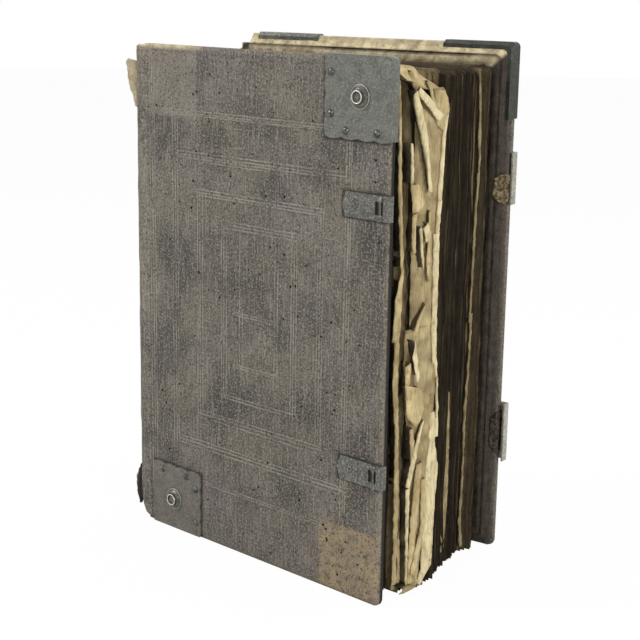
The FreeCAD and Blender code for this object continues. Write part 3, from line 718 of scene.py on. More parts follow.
def cover_skin(side):
    """The leather of one cover: face, edge, bevel and ragged turn-in."""
    wide, tall = SIZES[side]
    across, up = beside_plates(0, side), beside_plates(2, side)
    x, z = np.meshgrid(stations(wide, [line[0] for line in UPRIGHT], across),
                       stations(tall, [line[0] for line in LEVEL], up))
    rows, columns = x.shape
    wx, wz = corner_warp(x, z, wide, tall)
    points = [rows_of(wx, face_depth(side, x, z), wz)]
    marks = [face_marks(side, x, z)]
    faces = grid_faces(rows, columns)
    previous = way_round(rows, columns)
    bx, bz = x.ravel()[previous], z.ravel()[previous]
    run = np.concatenate([[0], np.cumsum(np.hypot(np.diff(bx), np.diff(bz)))])
    total = rows * columns
    for number in range(len(BORDER)):
        ring_points, ring_marks = border_ring(side, number, bx, bz, run)
        points.append(ring_points)
        marks.append(ring_marks)
        ring = list(range(total, total + len(bx)))
        faces += [(previous[k + 1], previous[k], ring[k], ring[k + 1]) for k in range(len(ring) - 1)]
        previous = ring
        total += len(ring)
    values = {name: np.concatenate([m[name].ravel() for m in marks]) for name in LEATHER_MARKS}
    piece = mesh_piece(side + "_cover_skin", np.concatenate(points), faces, cover_leather,
                       side, values)
    thicken(piece, SKIN)
    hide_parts(side + "_leather")
    print(piece.name, len(piece.data.polygons), "faces")


for side in ("front", "rear"):
    cover_skin(side)


# %% [markdown]
# ## The back of the book
#
# Five double cords cross the rounded back and the leather is moulded over them, so the back is a
# wave as well as a curve. The plan below follows the same outline as the frame: straight from the
# joint, round the shoulder, and over the crown. Each band swells out of it and fades towards the
# shoulders. At the head the leather is torn off, and the front corner at the tail is worn round.

# %% Plan of the back
SHOULDER, DEPTH, CROWN = 9.0, 15.0, math.radians(17.8)
SHOULDER_X = SHOULDER - DEPTH
CROWN_REACH = (THICK / 2 - SHOULDER) / math.sin(CROWN)
CROWN_X = SHOULDER_X + CROWN_REACH * math.cos(CROWN)
CROWN_RADIUS = SHOULDER + CROWN_REACH


def back_plan(pitch):
    """Points and outward directions along the back in plan, from the front joint to the rear."""
    arc = math.pi / 2 - CROWN
    line = [((-0.3 - t, 0.0), (0.0, -1.0)) for t in np.arange(0, -0.3 - SHOULDER_X, pitch)]
    bend = [((SHOULDER_X - SHOULDER * math.sin(a), SHOULDER - SHOULDER * math.cos(a)),
             (-math.sin(a), -math.cos(a))) for a in np.arange(0, arc, pitch / SHOULDER)]
    half = [((CROWN_X - CROWN_RADIUS * math.cos(a), THICK / 2 - CROWN_RADIUS * math.sin(a)),
             (-math.cos(a), -math.sin(a))) for a in np.arange(CROWN, 0, -pitch / CROWN_RADIUS)]
    front = line + bend + half
    middle = [((CROWN_X - CROWN_RADIUS, THICK / 2), (-1.0, 0.0))]
    rear = [((x, THICK - y), (nx, -ny)) for (x, y), (nx, ny) in reversed(front)]
    both = front + middle + rear
    return np.array([p for p, _ in both]), np.array([n for _, n in both])


# Where the torn head of the back leather runs: distance across the back, height.
TEAR = ([0, 1.3, 2.2, 9, 15, 35, 60, 95, 111, 120], [390, 388, 371, 364, 349, 344, 354, 349, 371, 390])


# How high the leather is worn away at the front corner of the tail, by distance along the back.
TAIL_WEAR = ([0, 3.3, 6.4, 7.9, 9.6, 12.5, 16, 19, 24, 30],
             [2.6, 4.1, 8.5, 12.6, 20, 28, 34, 22, 8, 2])


# Millimetres: how far a band stands out and half its width, how short of head and tail the back's
# leather ends, and how high up the worn corner still bends it.
BAND_RISE, BAND_HALF, SQUARE, WEAR_REACH = 3.3, 4.6, 2, 90


def band_lift(s, z, across, length):
    """How far the cords push the leather out."""
    lift = np.zeros_like(z)
    for height in BANDS:
        bump = np.sqrt(np.clip(1 - ((z - height) / BAND_HALF) ** 2, 0, 1)) * BAND_RISE
        bump = bump + 0.5 * np.exp(-(np.abs(z - height) - BAND_HALF) ** 2 / 2.5)
        faded = np.exp(-((z - height) / 6) ** 2) * step(s, 3, 9) * (1 - step(length - s, 0, 3))
        lift = np.maximum(lift, np.maximum(bump * (1 - step(across, 43, 57)), faded * (across > 43)))
    return lift


def back_skin():
    """The leather of the back with its raised bands, without what is torn off."""
    plan, outward = back_plan(1.5)
    run = np.concatenate([[0], np.cumsum(np.hypot(*np.diff(plan, axis=0).T))])
    s, z = np.meshgrid(run, np.linspace(SQUARE, TALL - SQUARE, 252))
    z = z + (np.interp(s, *TAIL_WEAR) - SQUARE) * (1 - step(z, SQUARE, WEAR_REACH))
    px, py, nx, ny = [np.broadcast_to(row, z.shape) for row in (*plan.T, *outward.T)]
    band = band_lift(s, z, np.abs(py - THICK / 2), run[-1])
    lift = band + swell(s, z, 31, 34, 0.22) + swell(s, z, 32, 8, 0.06)
    lift = lift * step(s, 0, 4) * step(run[-1] - s, 0, 4)
    x, y = px + nx * lift + (1 - step(z, 2, 6)) * 0.6, py + ny * lift
    tear = np.interp(py, *TEAR) + (ripple(s, 34, 30, 3.5) + ripple(s, 35, 6, 1.8)) * step(py, 2, 8)
    flat = (z > tear).ravel()
    faces = [face for face in grid_faces(*z.shape, over=True) if not (flat[face[3]] or flat[face[1]])]
    rubbed = np.clip(band / BAND_RISE * (0.7 + swell(s, z, 33, 12, 0.4)), 0, 1)
    rubbed = np.maximum(rubbed, 0.7 * (1 - step(z, 3, 16)) + 0.8 * step(z, 334, 350))
    # Dark marks that stand for creases on the back: painted shade, placed by a noise of its own.
    marks = {"crease_shade": np.clip(swell(s, z, 37, 5, 0.5) - 0.4, 0, 1), "worn": rubbed,
             "split": np.clip(1 - step(tear - z, 0.5, 3.5), 0, 1)}
    points, faces, marks = kept_part(rows_of(x, y, z), faces, marks)
    piece = mesh_piece("back_skin", points, faces, cover_leather, "root", marks)
    thicken(piece, SKIN)
    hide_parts("spine_leather")
    return piece


back = back_skin()
print("back skin:", len(back.data.polygons), "faces")

# %% [markdown]
# ## The leather over the two joints
#
# On the real book this is the same skin. Here it is a narrow strip of its own, shaped as it lies:
# one edge on the back, the other on the cover, turned open with the rear cover, and the leather
# between them turns smoothly. Both edges are pared thin, as a binder pares a repair, so they vanish
# into what they lie on.

# %% Joint strips
STRIP_TAIL, STRIP_HEAD = 3.0, 379.2


def joint_strip(side):
    """The strip over one joint, in the frame of the back, with the rear one opened."""
    back_side, cover_side = -7.5, 4.2
    u, z = np.meshgrid(np.linspace(back_side, cover_side, 15),
                       np.linspace(STRIP_TAIL, STRIP_HEAD, 161))
    pared = step(u, back_side, back_side + 3) * (1 - step(u, cover_side - 2.5, cover_side))
    lift = -0.25 + 0.75 * pared + swell(u, z, 41, 22, 0.10)
    for height in BANDS:
        lift = lift + 0.55 * np.exp(-((z - height) / 5) ** 2) * pared * (u < 1)
    if side == "front":
        z = z + (np.interp(-u, *TAIL_WEAR) - STRIP_TAIL) * (1 - step(z, STRIP_TAIL, WEAR_REACH))
    turned_in = u < SHOULDER_X
    a = np.where(turned_in, (SHOULDER_X - u) / SHOULDER, 0)
    x = np.where(turned_in, SHOULDER_X - (SHOULDER + lift) * np.sin(a), u)
    y = np.where(turned_in, SHOULDER - (SHOULDER + lift) * np.cos(a), -lift)
    faces = grid_faces(*z.shape, over=side == "rear")
    if side == "rear":
        y = THICK - y
        angle = math.radians(GAPE) * step(u, -1.5, 3.0)
        dy = y - (THICK + HINGE_RISE)
        x, y = (x * np.cos(angle) - dy * np.sin(angle),
                THICK + HINGE_RISE + x * np.sin(angle) + dy * np.cos(angle))
    strokes = slants(u, z, STROKES, 0.7)
    marks = {"tooled": np.clip(0.08 + 0.4 * strokes, 0, 1),
             "worn": np.clip(0.10 + 0.5 * (1 - step(z, 4, 16)) + 0.6 * step(z, 362, 374), 0, 1),
             "split": step(z, 376.5, 378.5)}
    points, faces, marks = kept_part(rows_of(x, y, z), faces, marks)
    piece = mesh_piece(side + "_joint_leather", points, faces, cover_leather, "root",
                       marks, blended=True)
    thicken(piece, 0.5)
    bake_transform(piece)
    return piece


strips = [joint_strip(side) for side in ("front", "rear")]
print("joint strips:", [piece.name for piece in strips])

# %% [markdown]
# ## The leaves
#
# Ninety-four leaves or folded pairs of leaves stand between the covers. Each is a thin closed
# box that starts at the rounded back, comes through the joint and fans out to the fore-edge. It
# waves a little more the further it is from the sewing, and its three free edges are never quite
# straight. Gatherings differ: some have slipped back, some have worked forward and torn.

# %% Gatherings
# Share of the thickness, reach past the front cover's fore-edge, tail, drop from the head,
# how clean the paper is, and how torn the fore-edge is in millimetres.
# The first two gatherings are set near black: painted shade in the gap behind the front board's edge.
GATHERINGS = [(0.05, -16.3, 0.0, 9.0, 0.03, 0.9), (0.05, -15.0, 1.5, 12.0, 0.03, 0.8),
              (0.09, -6.5, 0.0, 9.0, 0.35, 2.0), (0.11, -2.0, 0.0, 8.0, 0.55, 1.6),
              (0.11, -4.3, 0.0, 9.5, 0.12, 0.5), (0.10, -8.8, 0.0, 11.0, 0.05, 0.4),
              (0.09, -13.3, 0.0, 10.0, 0.06, 0.4), (0.09, -16.8, 0.0, 12.0, 0.05, 0.4),
              (0.08, -18.3, 0.0, 10.5, 0.10, 0.5), (0.08, -20.3, 1.0, 12.0, 0.06, 0.5),
              (0.07, -20.8, 0.0, 10.5, 0.12, 0.6), (0.04, -18.0, 0.0, 9.5, 0.30, 1.2),
              (0.04, -21.8, 2.0, 12.0, 0.10, 0.6)]
LEAF_PITCH = 1.0
# Two leaves with cleaner margins than their gathering, by their place in the stack.
CLEANER = ((0.655, 0.666), (0.832, 0.845))
CLEAR = CASE + LEAF_GAP
STACK = THICK - 2 * CLEAR
FIRST_TURN, LAST_TURN = math.radians(0.35), math.radians(GAPE)


def leaf_line(place, x):
    """Where a leaf lies in plan at a distance from the joint. Its place in the stack is 0 to 1."""
    return CLEAR + STACK * place + x * np.tan(FIRST_TURN + (LAST_TURN - FIRST_TURN) * place)


def back_of(place):
    """The leaf's folded end on the rounded back."""
    y = 2.0 + (THICK - 4.0) * place
    x = CROWN_X - math.sqrt((CROWN_RADIUS - 1.6) ** 2 - (y - THICK / 2) ** 2)
    return x + 1.1 * max(SHOULDER - y, y - (THICK - SHOULDER), 0), y


def one_leaf(low, high, reach, tail, head, torn, seed):
    """Points of one leaf, two faces on one grid, with a mark of painted shade along its cut edges and one
    for where it is handled.
    """
    dice = np.random.default_rng(seed)
    length = WIDE + reach + dice.normal(0, 0.65)
    bottom, top = tail + abs(dice.normal(0, 0.5)), head - abs(dice.normal(0, 0.9))
    xs = np.array([-1, -0.5, 0, 40, 120, 180, length - 24, length - 13, length - 6,
                   length - 2.6, length - 0.9, length])
    zs = np.concatenate([bottom + np.array([0, 0.8, 2.5, 6]), np.linspace(12, TALL - 18, 40),
                         top + np.array([-6, -2.5, -0.8, 0])])
    x, z = np.meshgrid(xs, np.sort(np.clip(zs, bottom, top)))
    middle = (low + high) / 2
    far = np.clip(x / length, 0, 1)
    wave = far ** 2 * (swell(z, 140 * middle, 51, 90, 1.1) + ripple(z, seed, 60, 0.55))
    edge = step(x, length - 10, length)
    px = x + edge * (ripple(z, seed + 1, 55, 0.5)
                     + torn * (ripple(z, seed + 2, 26, 0.6) + ripple(z, seed + 3, 6, 0.35)))
    u = np.clip((x - (length - 5)) / 5, 0, 1)
    v = np.clip((z - (top - 5)) / 5, 0, 1)
    dropped = z - 3.5 * (1 - np.sqrt(np.clip(1 - (u * v) ** 2, 0, 1)))
    dropped = dropped + step(z, top - 3, top) * ripple(x, seed + 4, 45, 0.5) * (x > 0)
    dropped = np.where(x < 0, np.clip(dropped, 12, TALL - 12), dropped)
    sides = []
    for place, way in ((low, 1), (high, -1)):
        gap = 0.10 * far + 0.26 * edge + 0.30 * step(x, length - 2, length)
        y = leaf_line(place, np.clip(x, 0, None)) + way * gap * (high - low) * STACK + wave
        fold_x, fold_y = back_of(place)
        bent = np.where(x == -1, fold_y, np.where(x == -0.5, fold_y * 0.62 + y * 0.38, y))
        moved = np.where(x == -1, fold_x, np.where(x == -0.5, -7.0, np.where(x == 0, -0.3, px)))
        sides.append(rows_of(moved, bent, dropped))
    # A thin line of painted shade along the cut edges.
    cut_edge_shade = np.maximum(np.maximum(step(x, length - 2.2, length - 0.4), step(z, top - 2.0, top - 0.3)),
                     1 - step(z, bottom + 0.3, bottom + 2.0))
    handled = np.maximum(np.maximum(step(x, length - 26, length - 14), step(z, top - 16, top - 5)),
                         1 - step(z, bottom + 5, bottom + 16))
    return sides, cut_edge_shade, handled


def leaf_faces(rows, columns, first):
    """The two faces of a leaf and the narrow wall between them."""
    count = rows * columns
    faces = grid_faces(rows, columns, first, over=True)
    faces += grid_faces(rows, columns, first + count)
    loop = way_round(rows, columns) + [r * columns for r in range(rows - 2, 0, -1)]
    for a, b in zip(loop, loop[1:] + loop[:1]):
        faces.append((first + count + b, first + count + a, first + a, first + b))
    return faces


def stack_of_leaves(name, gatherings, start, seed):
    """A run of gatherings as one piece, from its place in the stack."""
    points, faces, tones, cut_edge_shades = [], [], [], []
    total, done = 0, start
    dice = np.random.default_rng(seed)
    for number, (part, reach, tail, drop, tone, torn) in enumerate(gatherings):
        count = max(2, round(part * STACK / LEAF_PITCH))
        for k in range(count):
            low, high = done + part * k / count, done + part * (k + 1) / count
            sides, cut_edge_shade, handled = one_leaf(low, high, reach, tail, TALL - drop, torn,
                                           seed + 100 * number + 7 * k)
            rows, columns = cut_edge_shade.shape
            clean = np.clip(tone + dice.normal(0, 0.16), 0.0, 1.0)
            if any(first < low < last for first, last in CLEANER):
                clean = 0.6
            for points_of_side in sides:
                points.append(points_of_side)
                tones.append((0.75 + (clean - 0.75) * handled).ravel())
                # The painted edge shade is strongest on sooty leaves.
                cut_edge_shades.append(cut_edge_shade.ravel() * (1 - 0.85 * clean))
            faces += leaf_faces(rows, columns, total)
            total += 2 * rows * columns
        done += part
    piece = mesh_piece(name, np.concatenate(points), faces, rag_paper, "root",
                       {"tone": np.concatenate(tones), "cut_edge_shade": np.concatenate(cut_edge_shades)}, smooth=False)
    print(name, len(piece.data.polygons), "faces")
    return piece, done


front_leaves, reached = stack_of_leaves("front_gatherings", GATHERINGS[:4], 0.0, 1000)
for name, part, seed in (("middle_gatherings", GATHERINGS[4:8], 3000),
                         ("rear_gatherings", GATHERINGS[8:], 5000)):
    reached = stack_of_leaves(name, part, reached, seed)[1]
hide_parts("text_block")

# %% [markdown]
# ## Torn and folded leaves
#
# Damp and mice have left the front gatherings in rags. Margins stand out past the rest, some
# rolled, some folded back, some torn to a shred. Each is a short strip of paper: a table row
# gives its two edges from head to tail, and the function adds what all old paper has: a bulge
# across, a ragged edge and a slight cockle. At its rear edge each strip goes back into the stack,
# where it is sewn.

# %% Torn sheets
# Name, how far out its left and right edges stand, bulge, how clean,
# and rows of left y, left z, right y, right z.
TORN = [
    ("near_leaf_head", 235.5, 237.5, 0.6, 0.85,
     [(15, 374, 16, 375), (18, 340, 19, 340), (19, 302, 21, 302), (22, 261, 24, 261),
      (25, 235, 26, 235), (20, 216, 25, 216), (18, 187, 24, 187)]),
    ("near_leaf_tail", 236, 238, 0.6, 0.85,
     [(20, 194, 23, 194), (19, 154, 23, 155), (23, 120, 25, 120), (24, 68, 28, 69),
      (25, 33, 30, 34), (24, 2, 33, 4)]),
    ("broad_leaf_head", 240, 248, 0.8, 0.66,
     [(46, 359, 49, 360), (34, 355, 53, 356), (30, 344, 54, 345), (30, 300, 52, 301),
      (30, 231, 49, 233), (31, 188, 51, 191)]),
    ("broad_leaf_tail", 240, 248, 0.8, 0.66,
     [(26, 195, 51, 198), (26, 156, 52, 159), (31, 122, 50, 126), (33, 87, 44, 92),
      (35, 36, 43, 41), (32, 0, 38, 6)]),
    ("rolled_margin", 247, 249.5, 2.2, 1.0,
     [(18, 356, 20, 359), (21, 345, 25, 348), (27, 329, 32, 331), (33, 312, 35, 314),
      (38.5, 290, 39, 291)]),
    ("second_roll", 247.5, 249.5, 1.6, 0.95,
     [(22, 357, 23, 361), (34, 347, 35, 353), (41, 341, 42, 346), (45, 337, 49, 342)]),
    ("head_corner", 246.5, 248.5, 0.7, 0.88,
     [(41, 359, 50, 358), (42, 349, 54, 353), (43, 339, 56, 342), (46, 334, 53, 329)]),
    ("outer_margin", 247.5, 249.5, 0.8, 0.97,
     [(53, 341, 54, 342), (50, 330, 52, 330), (47, 284, 50, 285), (46, 260, 48, 260)]),
    ("white_sliver", 243, 245, 0.5, 1.0,
     [(22, 324, 22.5, 324), (23, 310, 24, 311), (23.5, 296, 24.5, 297)]),
    ("petal", 246, 248, 1.4, 0.9,
     [(20, 297, 26, 297), (21, 291, 31, 291), (22, 284, 33, 284), (23, 277, 31, 280)]),
    ("left_strip", 244, 246, 0.6, 0.92, [(25, 276, 28, 277), (25, 263, 27, 263), (26, 248, 28, 250)]),
    ("small_flap", 247, 249, 0.8, 1.0, [(29, 265, 30, 268), (31, 252, 31.5, 253), (34, 236, 34, 239)]),
    ("light_scrap", 247.5, 249, 0.6, 0.95,
     [(33, 266, 37, 270), (35, 261, 39, 265), (35.5, 256, 40, 260)]),
    ("long_shred", 248, 249, 0.4, 0.85,
     [(38, 277, 39, 278), (37.5, 257, 39, 258), (37, 240, 40, 241), (39, 229, 41, 229)]),
    ("mid_margin", 247.5, 249.5, 0.7, 0.97,
     [(44, 261, 48.5, 262), (45, 233, 49, 234), (46, 191, 49, 192)]),
    ("slant_scrap", 247, 248.5, 0.7, 0.92, [(27, 195, 29.5, 195), (31, 204, 34, 206), (35, 210, 38, 214)]),
    ("low_flap", 246, 248.5, 1.0, 0.9,
     [(21, 158, 33, 155), (22, 150, 38, 149), (23, 140, 39, 140), (25, 133, 38, 133),
      (30, 128, 33, 128)]),
    ("left_tag", 244.5, 246, 0.6, 0.85, [(22, 171, 27, 173), (22, 163, 26, 162), (23, 147, 25, 149)]),
    ("white_point", 248, 249, 0.6, 1.0, [(25, 178, 27, 189), (29, 166, 30, 174), (32.5, 153, 32.5, 163)]),
    ("low_margin", 247.5, 249.5, 0.8, 0.98,
     [(45, 198, 49, 199), (47, 173, 50, 175), (52, 158, 52.5, 158), (53, 137, 54, 136),
      (53, 114, 55, 115)]),
    ("bare_leaf", 246.5, 249, 1.0, 1.0,
     [(48, 133, 51, 134), (45, 105, 53, 108), (45, 89, 57, 92), (43, 61, 55, 69),
      (44, 40, 54, 42), (44, 16, 53, 18), (39, 7, 41, 6)]),
    ("leaning_shred", 247, 248.5, 0.9, 0.98,
     [(38, 128, 40, 130), (33, 115, 35, 114), (28, 101, 32, 101), (23, 84, 26, 83)]),
    ("standing_shred", 244, 245.5, 0.5, 1.0, [(27, 80, 30, 82), (28, 56, 30, 57), (29.5, 5, 30.5, 8)]),
    ("tan_shred", 245.5, 247.5, 0.8, 0.88,
     [(36, 97, 41, 99), (32, 57, 38, 59), (30, 22, 34, 24), (30, 8, 33, 10)]),
    ("folded_shred", 248, 249.5, 0.9, 0.92,
     [(39, 86, 42, 87), (40, 50, 43, 50), (34, 31, 38, 31), (30, 17, 34, 15)]),
    ("near_shred", 246, 247.5, 0.6, 0.9,
     [(27, 125, 29, 126), (28, 113, 31, 114), (29, 100, 29.5, 102)]),
    ("toe_scrap", 245, 248, 0.9, 0.9, [(33, 2, 36, 6), (27, 2, 29, 8), (22, 3, 24, 7)]),
    ("crumple", 238, 246, 2.0, 0.92,
     [(41, 366, 50, 358), (34, 369, 42, 359), (28, 374, 35, 359), (20, 375, 27, 361),
      (11, 375.5, 19, 365), (5, 375.5, 13, 366)]),
    ("crumple_strand", 244, 247, 0.8, 0.85, [(16, 370, 17, 372), (20, 364, 21, 366), (25, 356, 26, 358)]),
    ("twisted_strand", 248, 249, 0.7, 0.85, [(31, 364, 33, 365), (36, 354, 38, 355), (41, 344, 43, 346)]),
    ("rear_torn_head", 226.5, 227.5, 0.4, 0.42,
     [(116.8, 369, 118, 369), (118.6, 349, 120, 349), (119.8, 332, 121, 332), (119, 319, 122, 319),
      (121, 305, 122.3, 305), (120, 288, 122, 288), (118.5, 270, 120.4, 271),
      (118.6, 255, 120, 255), (117.6, 218, 119, 218), (116.8, 183, 118, 183)]),
    ("rear_torn_tail", 226.5, 227.5, 0.4, 0.46,
     [(118.6, 190, 120, 190), (117.4, 150, 119, 150), (115, 111, 117, 112), (115.8, 80, 117, 81),
      (115.4, 52, 117, 52), (114, 27, 116, 28), (116.5, 6, 119, 7)]),
    ("tail_leaf", 229, 230.5, 0.4, 0.55,
     [(90.5, 135, 91.5, 136), (91, 112, 93, 113), (90, 81, 94, 82), (90, 46, 94, 47),
      (89, 10, 91, 11)]),
]
ACROSS = np.linspace(0, 1, 7)
OUTERMOST, LOWEST, HIGHEST = 250.0, 0.4, 375.5
print("torn sheets:", len(TORN))


def smooth_rows(rows, pitch):
    """The rows of a table, filled in about every so many millimetres."""
    rows = np.array(rows, float)
    middle = (rows[:, :2] + rows[:, 2:]) / 2
    run = np.concatenate([[0], np.cumsum(np.hypot(*np.diff(middle, axis=0).T))])
    fine = np.linspace(0, run[-1], max(4, int(run[-1] / pitch)))
    return fine, np.stack([np.interp(fine, run, column) for column in rows.T], 1)


def sheet_points(left_x, right_x, bulge, rows, seed, crumple):
    """The visible strip of a torn leaf as a grid, and the way back into the stack on its right."""
    run, rows = smooth_rows(rows, 2.2)
    ragged = [ripple(run, seed + k, 9, 0.45) + ripple(run, seed + k + 9, 3, 0.2) for k in (0, 1)]
    left = np.stack([np.full_like(run, left_x), rows[:, 0] + ragged[0], rows[:, 1]], 1)
    right = np.stack([np.full_like(run, right_x), rows[:, 2] + ragged[1], rows[:, 3]], 1)
    chord = right - left
    out = np.stack([chord[:, 1], -chord[:, 0], 0 * run], 1)
    out /= np.linalg.norm(out, axis=1)[:, None]
    grid = left[:, None, :] + chord[:, None, :] * ACROSS[None, :, None]
    v, s = np.meshgrid(ACROSS, run)
    rise = bulge * 4 * v * (1 - v) + swell(s, v * 8, seed + 4, 12, 0.35)
    rise = rise + crumple * swell(s, v * 12, seed + 5, 7, 1.0)
    grid = grid + out[:, None, :] * rise[:, :, None]
    grid[:, :, 0] = np.minimum(grid[:, :, 0], OUTERMOST)
    back = [right + np.array([-depth, slide, 0]) for depth, slide in ((3.5, 1.2), (9.5, 0.6))]
    grid = np.concatenate([grid, np.stack(back, 1)], 1)
    grid[:, :, 2] = np.clip(grid[:, :, 2], LOWEST, HIGHEST)
    return grid


# %% Make the torn leaves
points, faces, tones, pales = [], [], [], []
total = 0
for number, (name, left_x, right_x, bulge, tone, rows) in enumerate(TORN):
    crumple = 1.0 if name == "crumple" else 0.0
    grid = sheet_points(left_x, right_x, bulge, rows, 700 + 20 * number, crumple)
    count, columns = grid.shape[:2]
    points.append(grid.reshape(-1, 3))
    faces += grid_faces(count, columns, total, over=grid[0, 0, 2] >= grid[-1, 0, 2])
    # Where a strip goes back into the stack its tone falls to near black, as painted shade.
    tone_and_return_shade = np.concatenate([np.full(columns - 2, tone), [0.25, 0.05]])
    v = np.tile(tone_and_return_shade, (count, 1)) + swell(grid[:, :, 2], grid[:, :, 1], 90 + number, 14, 0.12)
    tones.append(np.clip(v, 0, 1).ravel())
    pales.append(np.full(count * columns, 0.75 if tone > 0.94 else 0.1))
    total += count * columns
torn_leaves = mesh_piece("torn_leaves", np.concatenate(points), faces, rag_paper, "root",
                         {"tone": np.concatenate(tones), "pale": np.concatenate(pales)})
thicken(torn_leaves, 0.3)
print("torn leaves:", len(torn_leaves.data.polygons), "faces")

# %% [markdown]
# ## Loose ends of leather
#
# Where the back's cover is torn at the head, a flap of it stands off to the left, and at the tail
# the cap has curled out into a crescent, painted dark inside as shade. On the rear board two stumps
# are left of the straps: each goes round the edge and lies on the bevel, where it was torn off; the
# lower one is painted near black as shade.

# %% Flaps of the back
# Rows of left x, left z, right x, right z, and how far from the front plane each edge is.
FLAPS = {
    "head_flap": (8.0, 2.6, [(-19.9, 333.1, -12.0, 331), (-22.4, 336, -12.0, 340),
                             (-25.5, 342, -12.0, 346), (-28.3, 348.3, -12.0, 351),
                             (-29.9, 354.4, -11.5, 357), (-30.4, 360, -11.5, 362),
                             (-32.1, 365.3, -12.5, 365.5), (-27.5, 367.6, -14.0, 366.5)]),
    "tail_cap": (9.0, 8.0, [(-18.0, 40.1, -16.9, 39.5), (-23.8, 34.1, -16.8, 33),
                            (-27.1, 24.5, -17.0, 24), (-26.1, 14.3, -17.2, 14),
                            (-22.8, 7.2, -17.6, 8), (-20.8, 5.0, -18.6, 5.6)]),
}


def back_flap(name, seed):
    """A curled flap of leather on the back, as a strip with split edges."""
    left_y, right_y, rows = FLAPS[name]
    run, rows = smooth_rows(rows, 1.5)
    v, s = np.meshgrid(ACROSS, run)
    ragged = ripple(run, seed, 6, 0.7)[:, None] * (1 - v)
    x = rows[:, [0]] + (rows[:, [2]] - rows[:, [0]]) * v + ragged
    z = rows[:, [1]] + (rows[:, [3]] - rows[:, [1]]) * v
    y = left_y + (right_y - left_y) * v - 2.0 * np.sin(v * np.pi) + swell(s, v * 8, seed + 1, 9, 0.5)
    edge = np.maximum(1 - step(v, 0.05, 0.35), step(v, 0.9, 1.0) * 0.3)
    at_tail = name == "tail_cap"
    # Inside the curled tail cap the leather is painted brown and near black, as shade.
    marks = {"split": edge if at_tail else np.maximum(edge * 0.8, 0.5), "worn": 0.4 + 0 * v,
             "inside": (1 - edge) * at_tail, "soot_and_shade": 0.8 * (1 - edge) * at_tail}
    faces = grid_faces(*v.shape, over=rows[0, 1] >= rows[-1, 1])
    piece = mesh_piece(name, rows_of(x, y, z), faces, cover_leather, "root",
                       {key: np.clip(m, 0, 1) for key, m in marks.items()})
    return thicken(piece, 0.8)


flaps = [back_flap(name, 400 + 10 * k) for k, name in enumerate(FLAPS)]
print("flaps:", [piece.name for piece in flaps])

# %% Strap stumps
# Path round the edge of the rear cover and down its bevel: distance from the joint, depth.
STRAP_PATH = [(236.5, 0.3), (237.1, 2.0), (237.2, 4.4), (236.4, 6.0), (233.4, 8.2), (230.2, 10.5),
              (227.6, 12.3)]
# The lower stump is painted near black, as shade.
STRAPS = {"upper": (94.0, 116.0, 1.0, strap_hide), "lower": (276.0, 309.0, 0.72, shaded_strap_hide)}


def strap_stump(label, seed):
    """What is left of a strap, from its first to its last height below the head."""
    first, last, reach, material = STRAPS[label]
    path = np.array(STRAP_PATH)
    along = np.linspace(0, 1, 18)
    v, s = np.meshgrid(np.linspace(0, 1, 16), along)
    shown = along * reach * (len(path) - 1)
    px, py = [np.interp(shown, range(len(path)), column) for column in path.T]
    narrow = 0.5 + (v - 0.5) * (1 - 0.30 * step(s, 0.7, 1.0))
    z = first + (last - first) * narrow
    ragged = (0.6 * ripple(v * 25, seed, 9, 1.0) + 0.8 * np.cos((v - 0.5) * 3)) * step(s, 0.6, 1.0)
    lift = 0.55 + swell(v * 25, s * 14, seed + 1, 7, 0.35) * step(s, 0.2, 0.5)
    x = px[:, None] + 0.7 * lift - 1.2 * ragged
    y = py[:, None] + 0.7 * lift
    faces = grid_faces(*v.shape, over=True)
    piece = mesh_piece(label + "_strap_stump", rows_of(x, y, z), faces, material, "rear")
    thicken(piece, 1.0)
    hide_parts(label + "_strap_stub")
    return piece


stumps = [strap_stump(label, 60 + 7 * k) for k, label in enumerate(STRAPS)]
print("straps:", [piece.name for piece in stumps])

# %% [markdown]
# ## Bosses
#
# A boss keeps the leather off the shelf. It is turned on a lathe: a beaded rim, a low dome, and a
# stud with a sunk top whose ring is rubbed bright. So it is made here as a lathe makes it, from a
# profile that is carried round an axis.

# %% Turn the bosses
# Radius, height over the plate, how bright (rubbed metal with a painted highlight), how dark (painted
# shade in the hollows and at the foot).
PROFILE = [(8.6, 0.0, 0.0, 0.6), (8.6, 0.45, 0.0, 0.1), (8.3, 0.8, 0.35, 0), (7.9, 0.85, 0.25, 0),
           (7.6, 0.7, 0.0, 0.5), (7.2, 0.95, 0, 0.15), (6.5, 1.65, 0, 0), (5.8, 2.2, 0, 0),
           (5.2, 2.4, 0.0, 0.3), (4.85, 2.45, 0.0, 0.95), (4.7, 2.8, 0.0, 0.7), (4.65, 3.6, 0, 0.1),
           (4.5, 4.1, 0.55, 0), (4.15, 4.3, 1.0, 0), (3.8, 4.15, 0.6, 0), (3.65, 3.8, 0, 0.6),
           (3.6, 3.4, 0, 0.95), (3.0, 3.3, 0.0, 0.5), (0.9, 3.25, 0.1, 0.2)]
BOSSES = [("front_head_boss", "front", 218.3, 354.0), ("front_tail_boss", "front", 31.7, 24.7),
          ("rear_head_fore_boss", "rear", 210.0, 26.0), ("rear_head_spine_boss", "rear", 33.0, 26.0)]


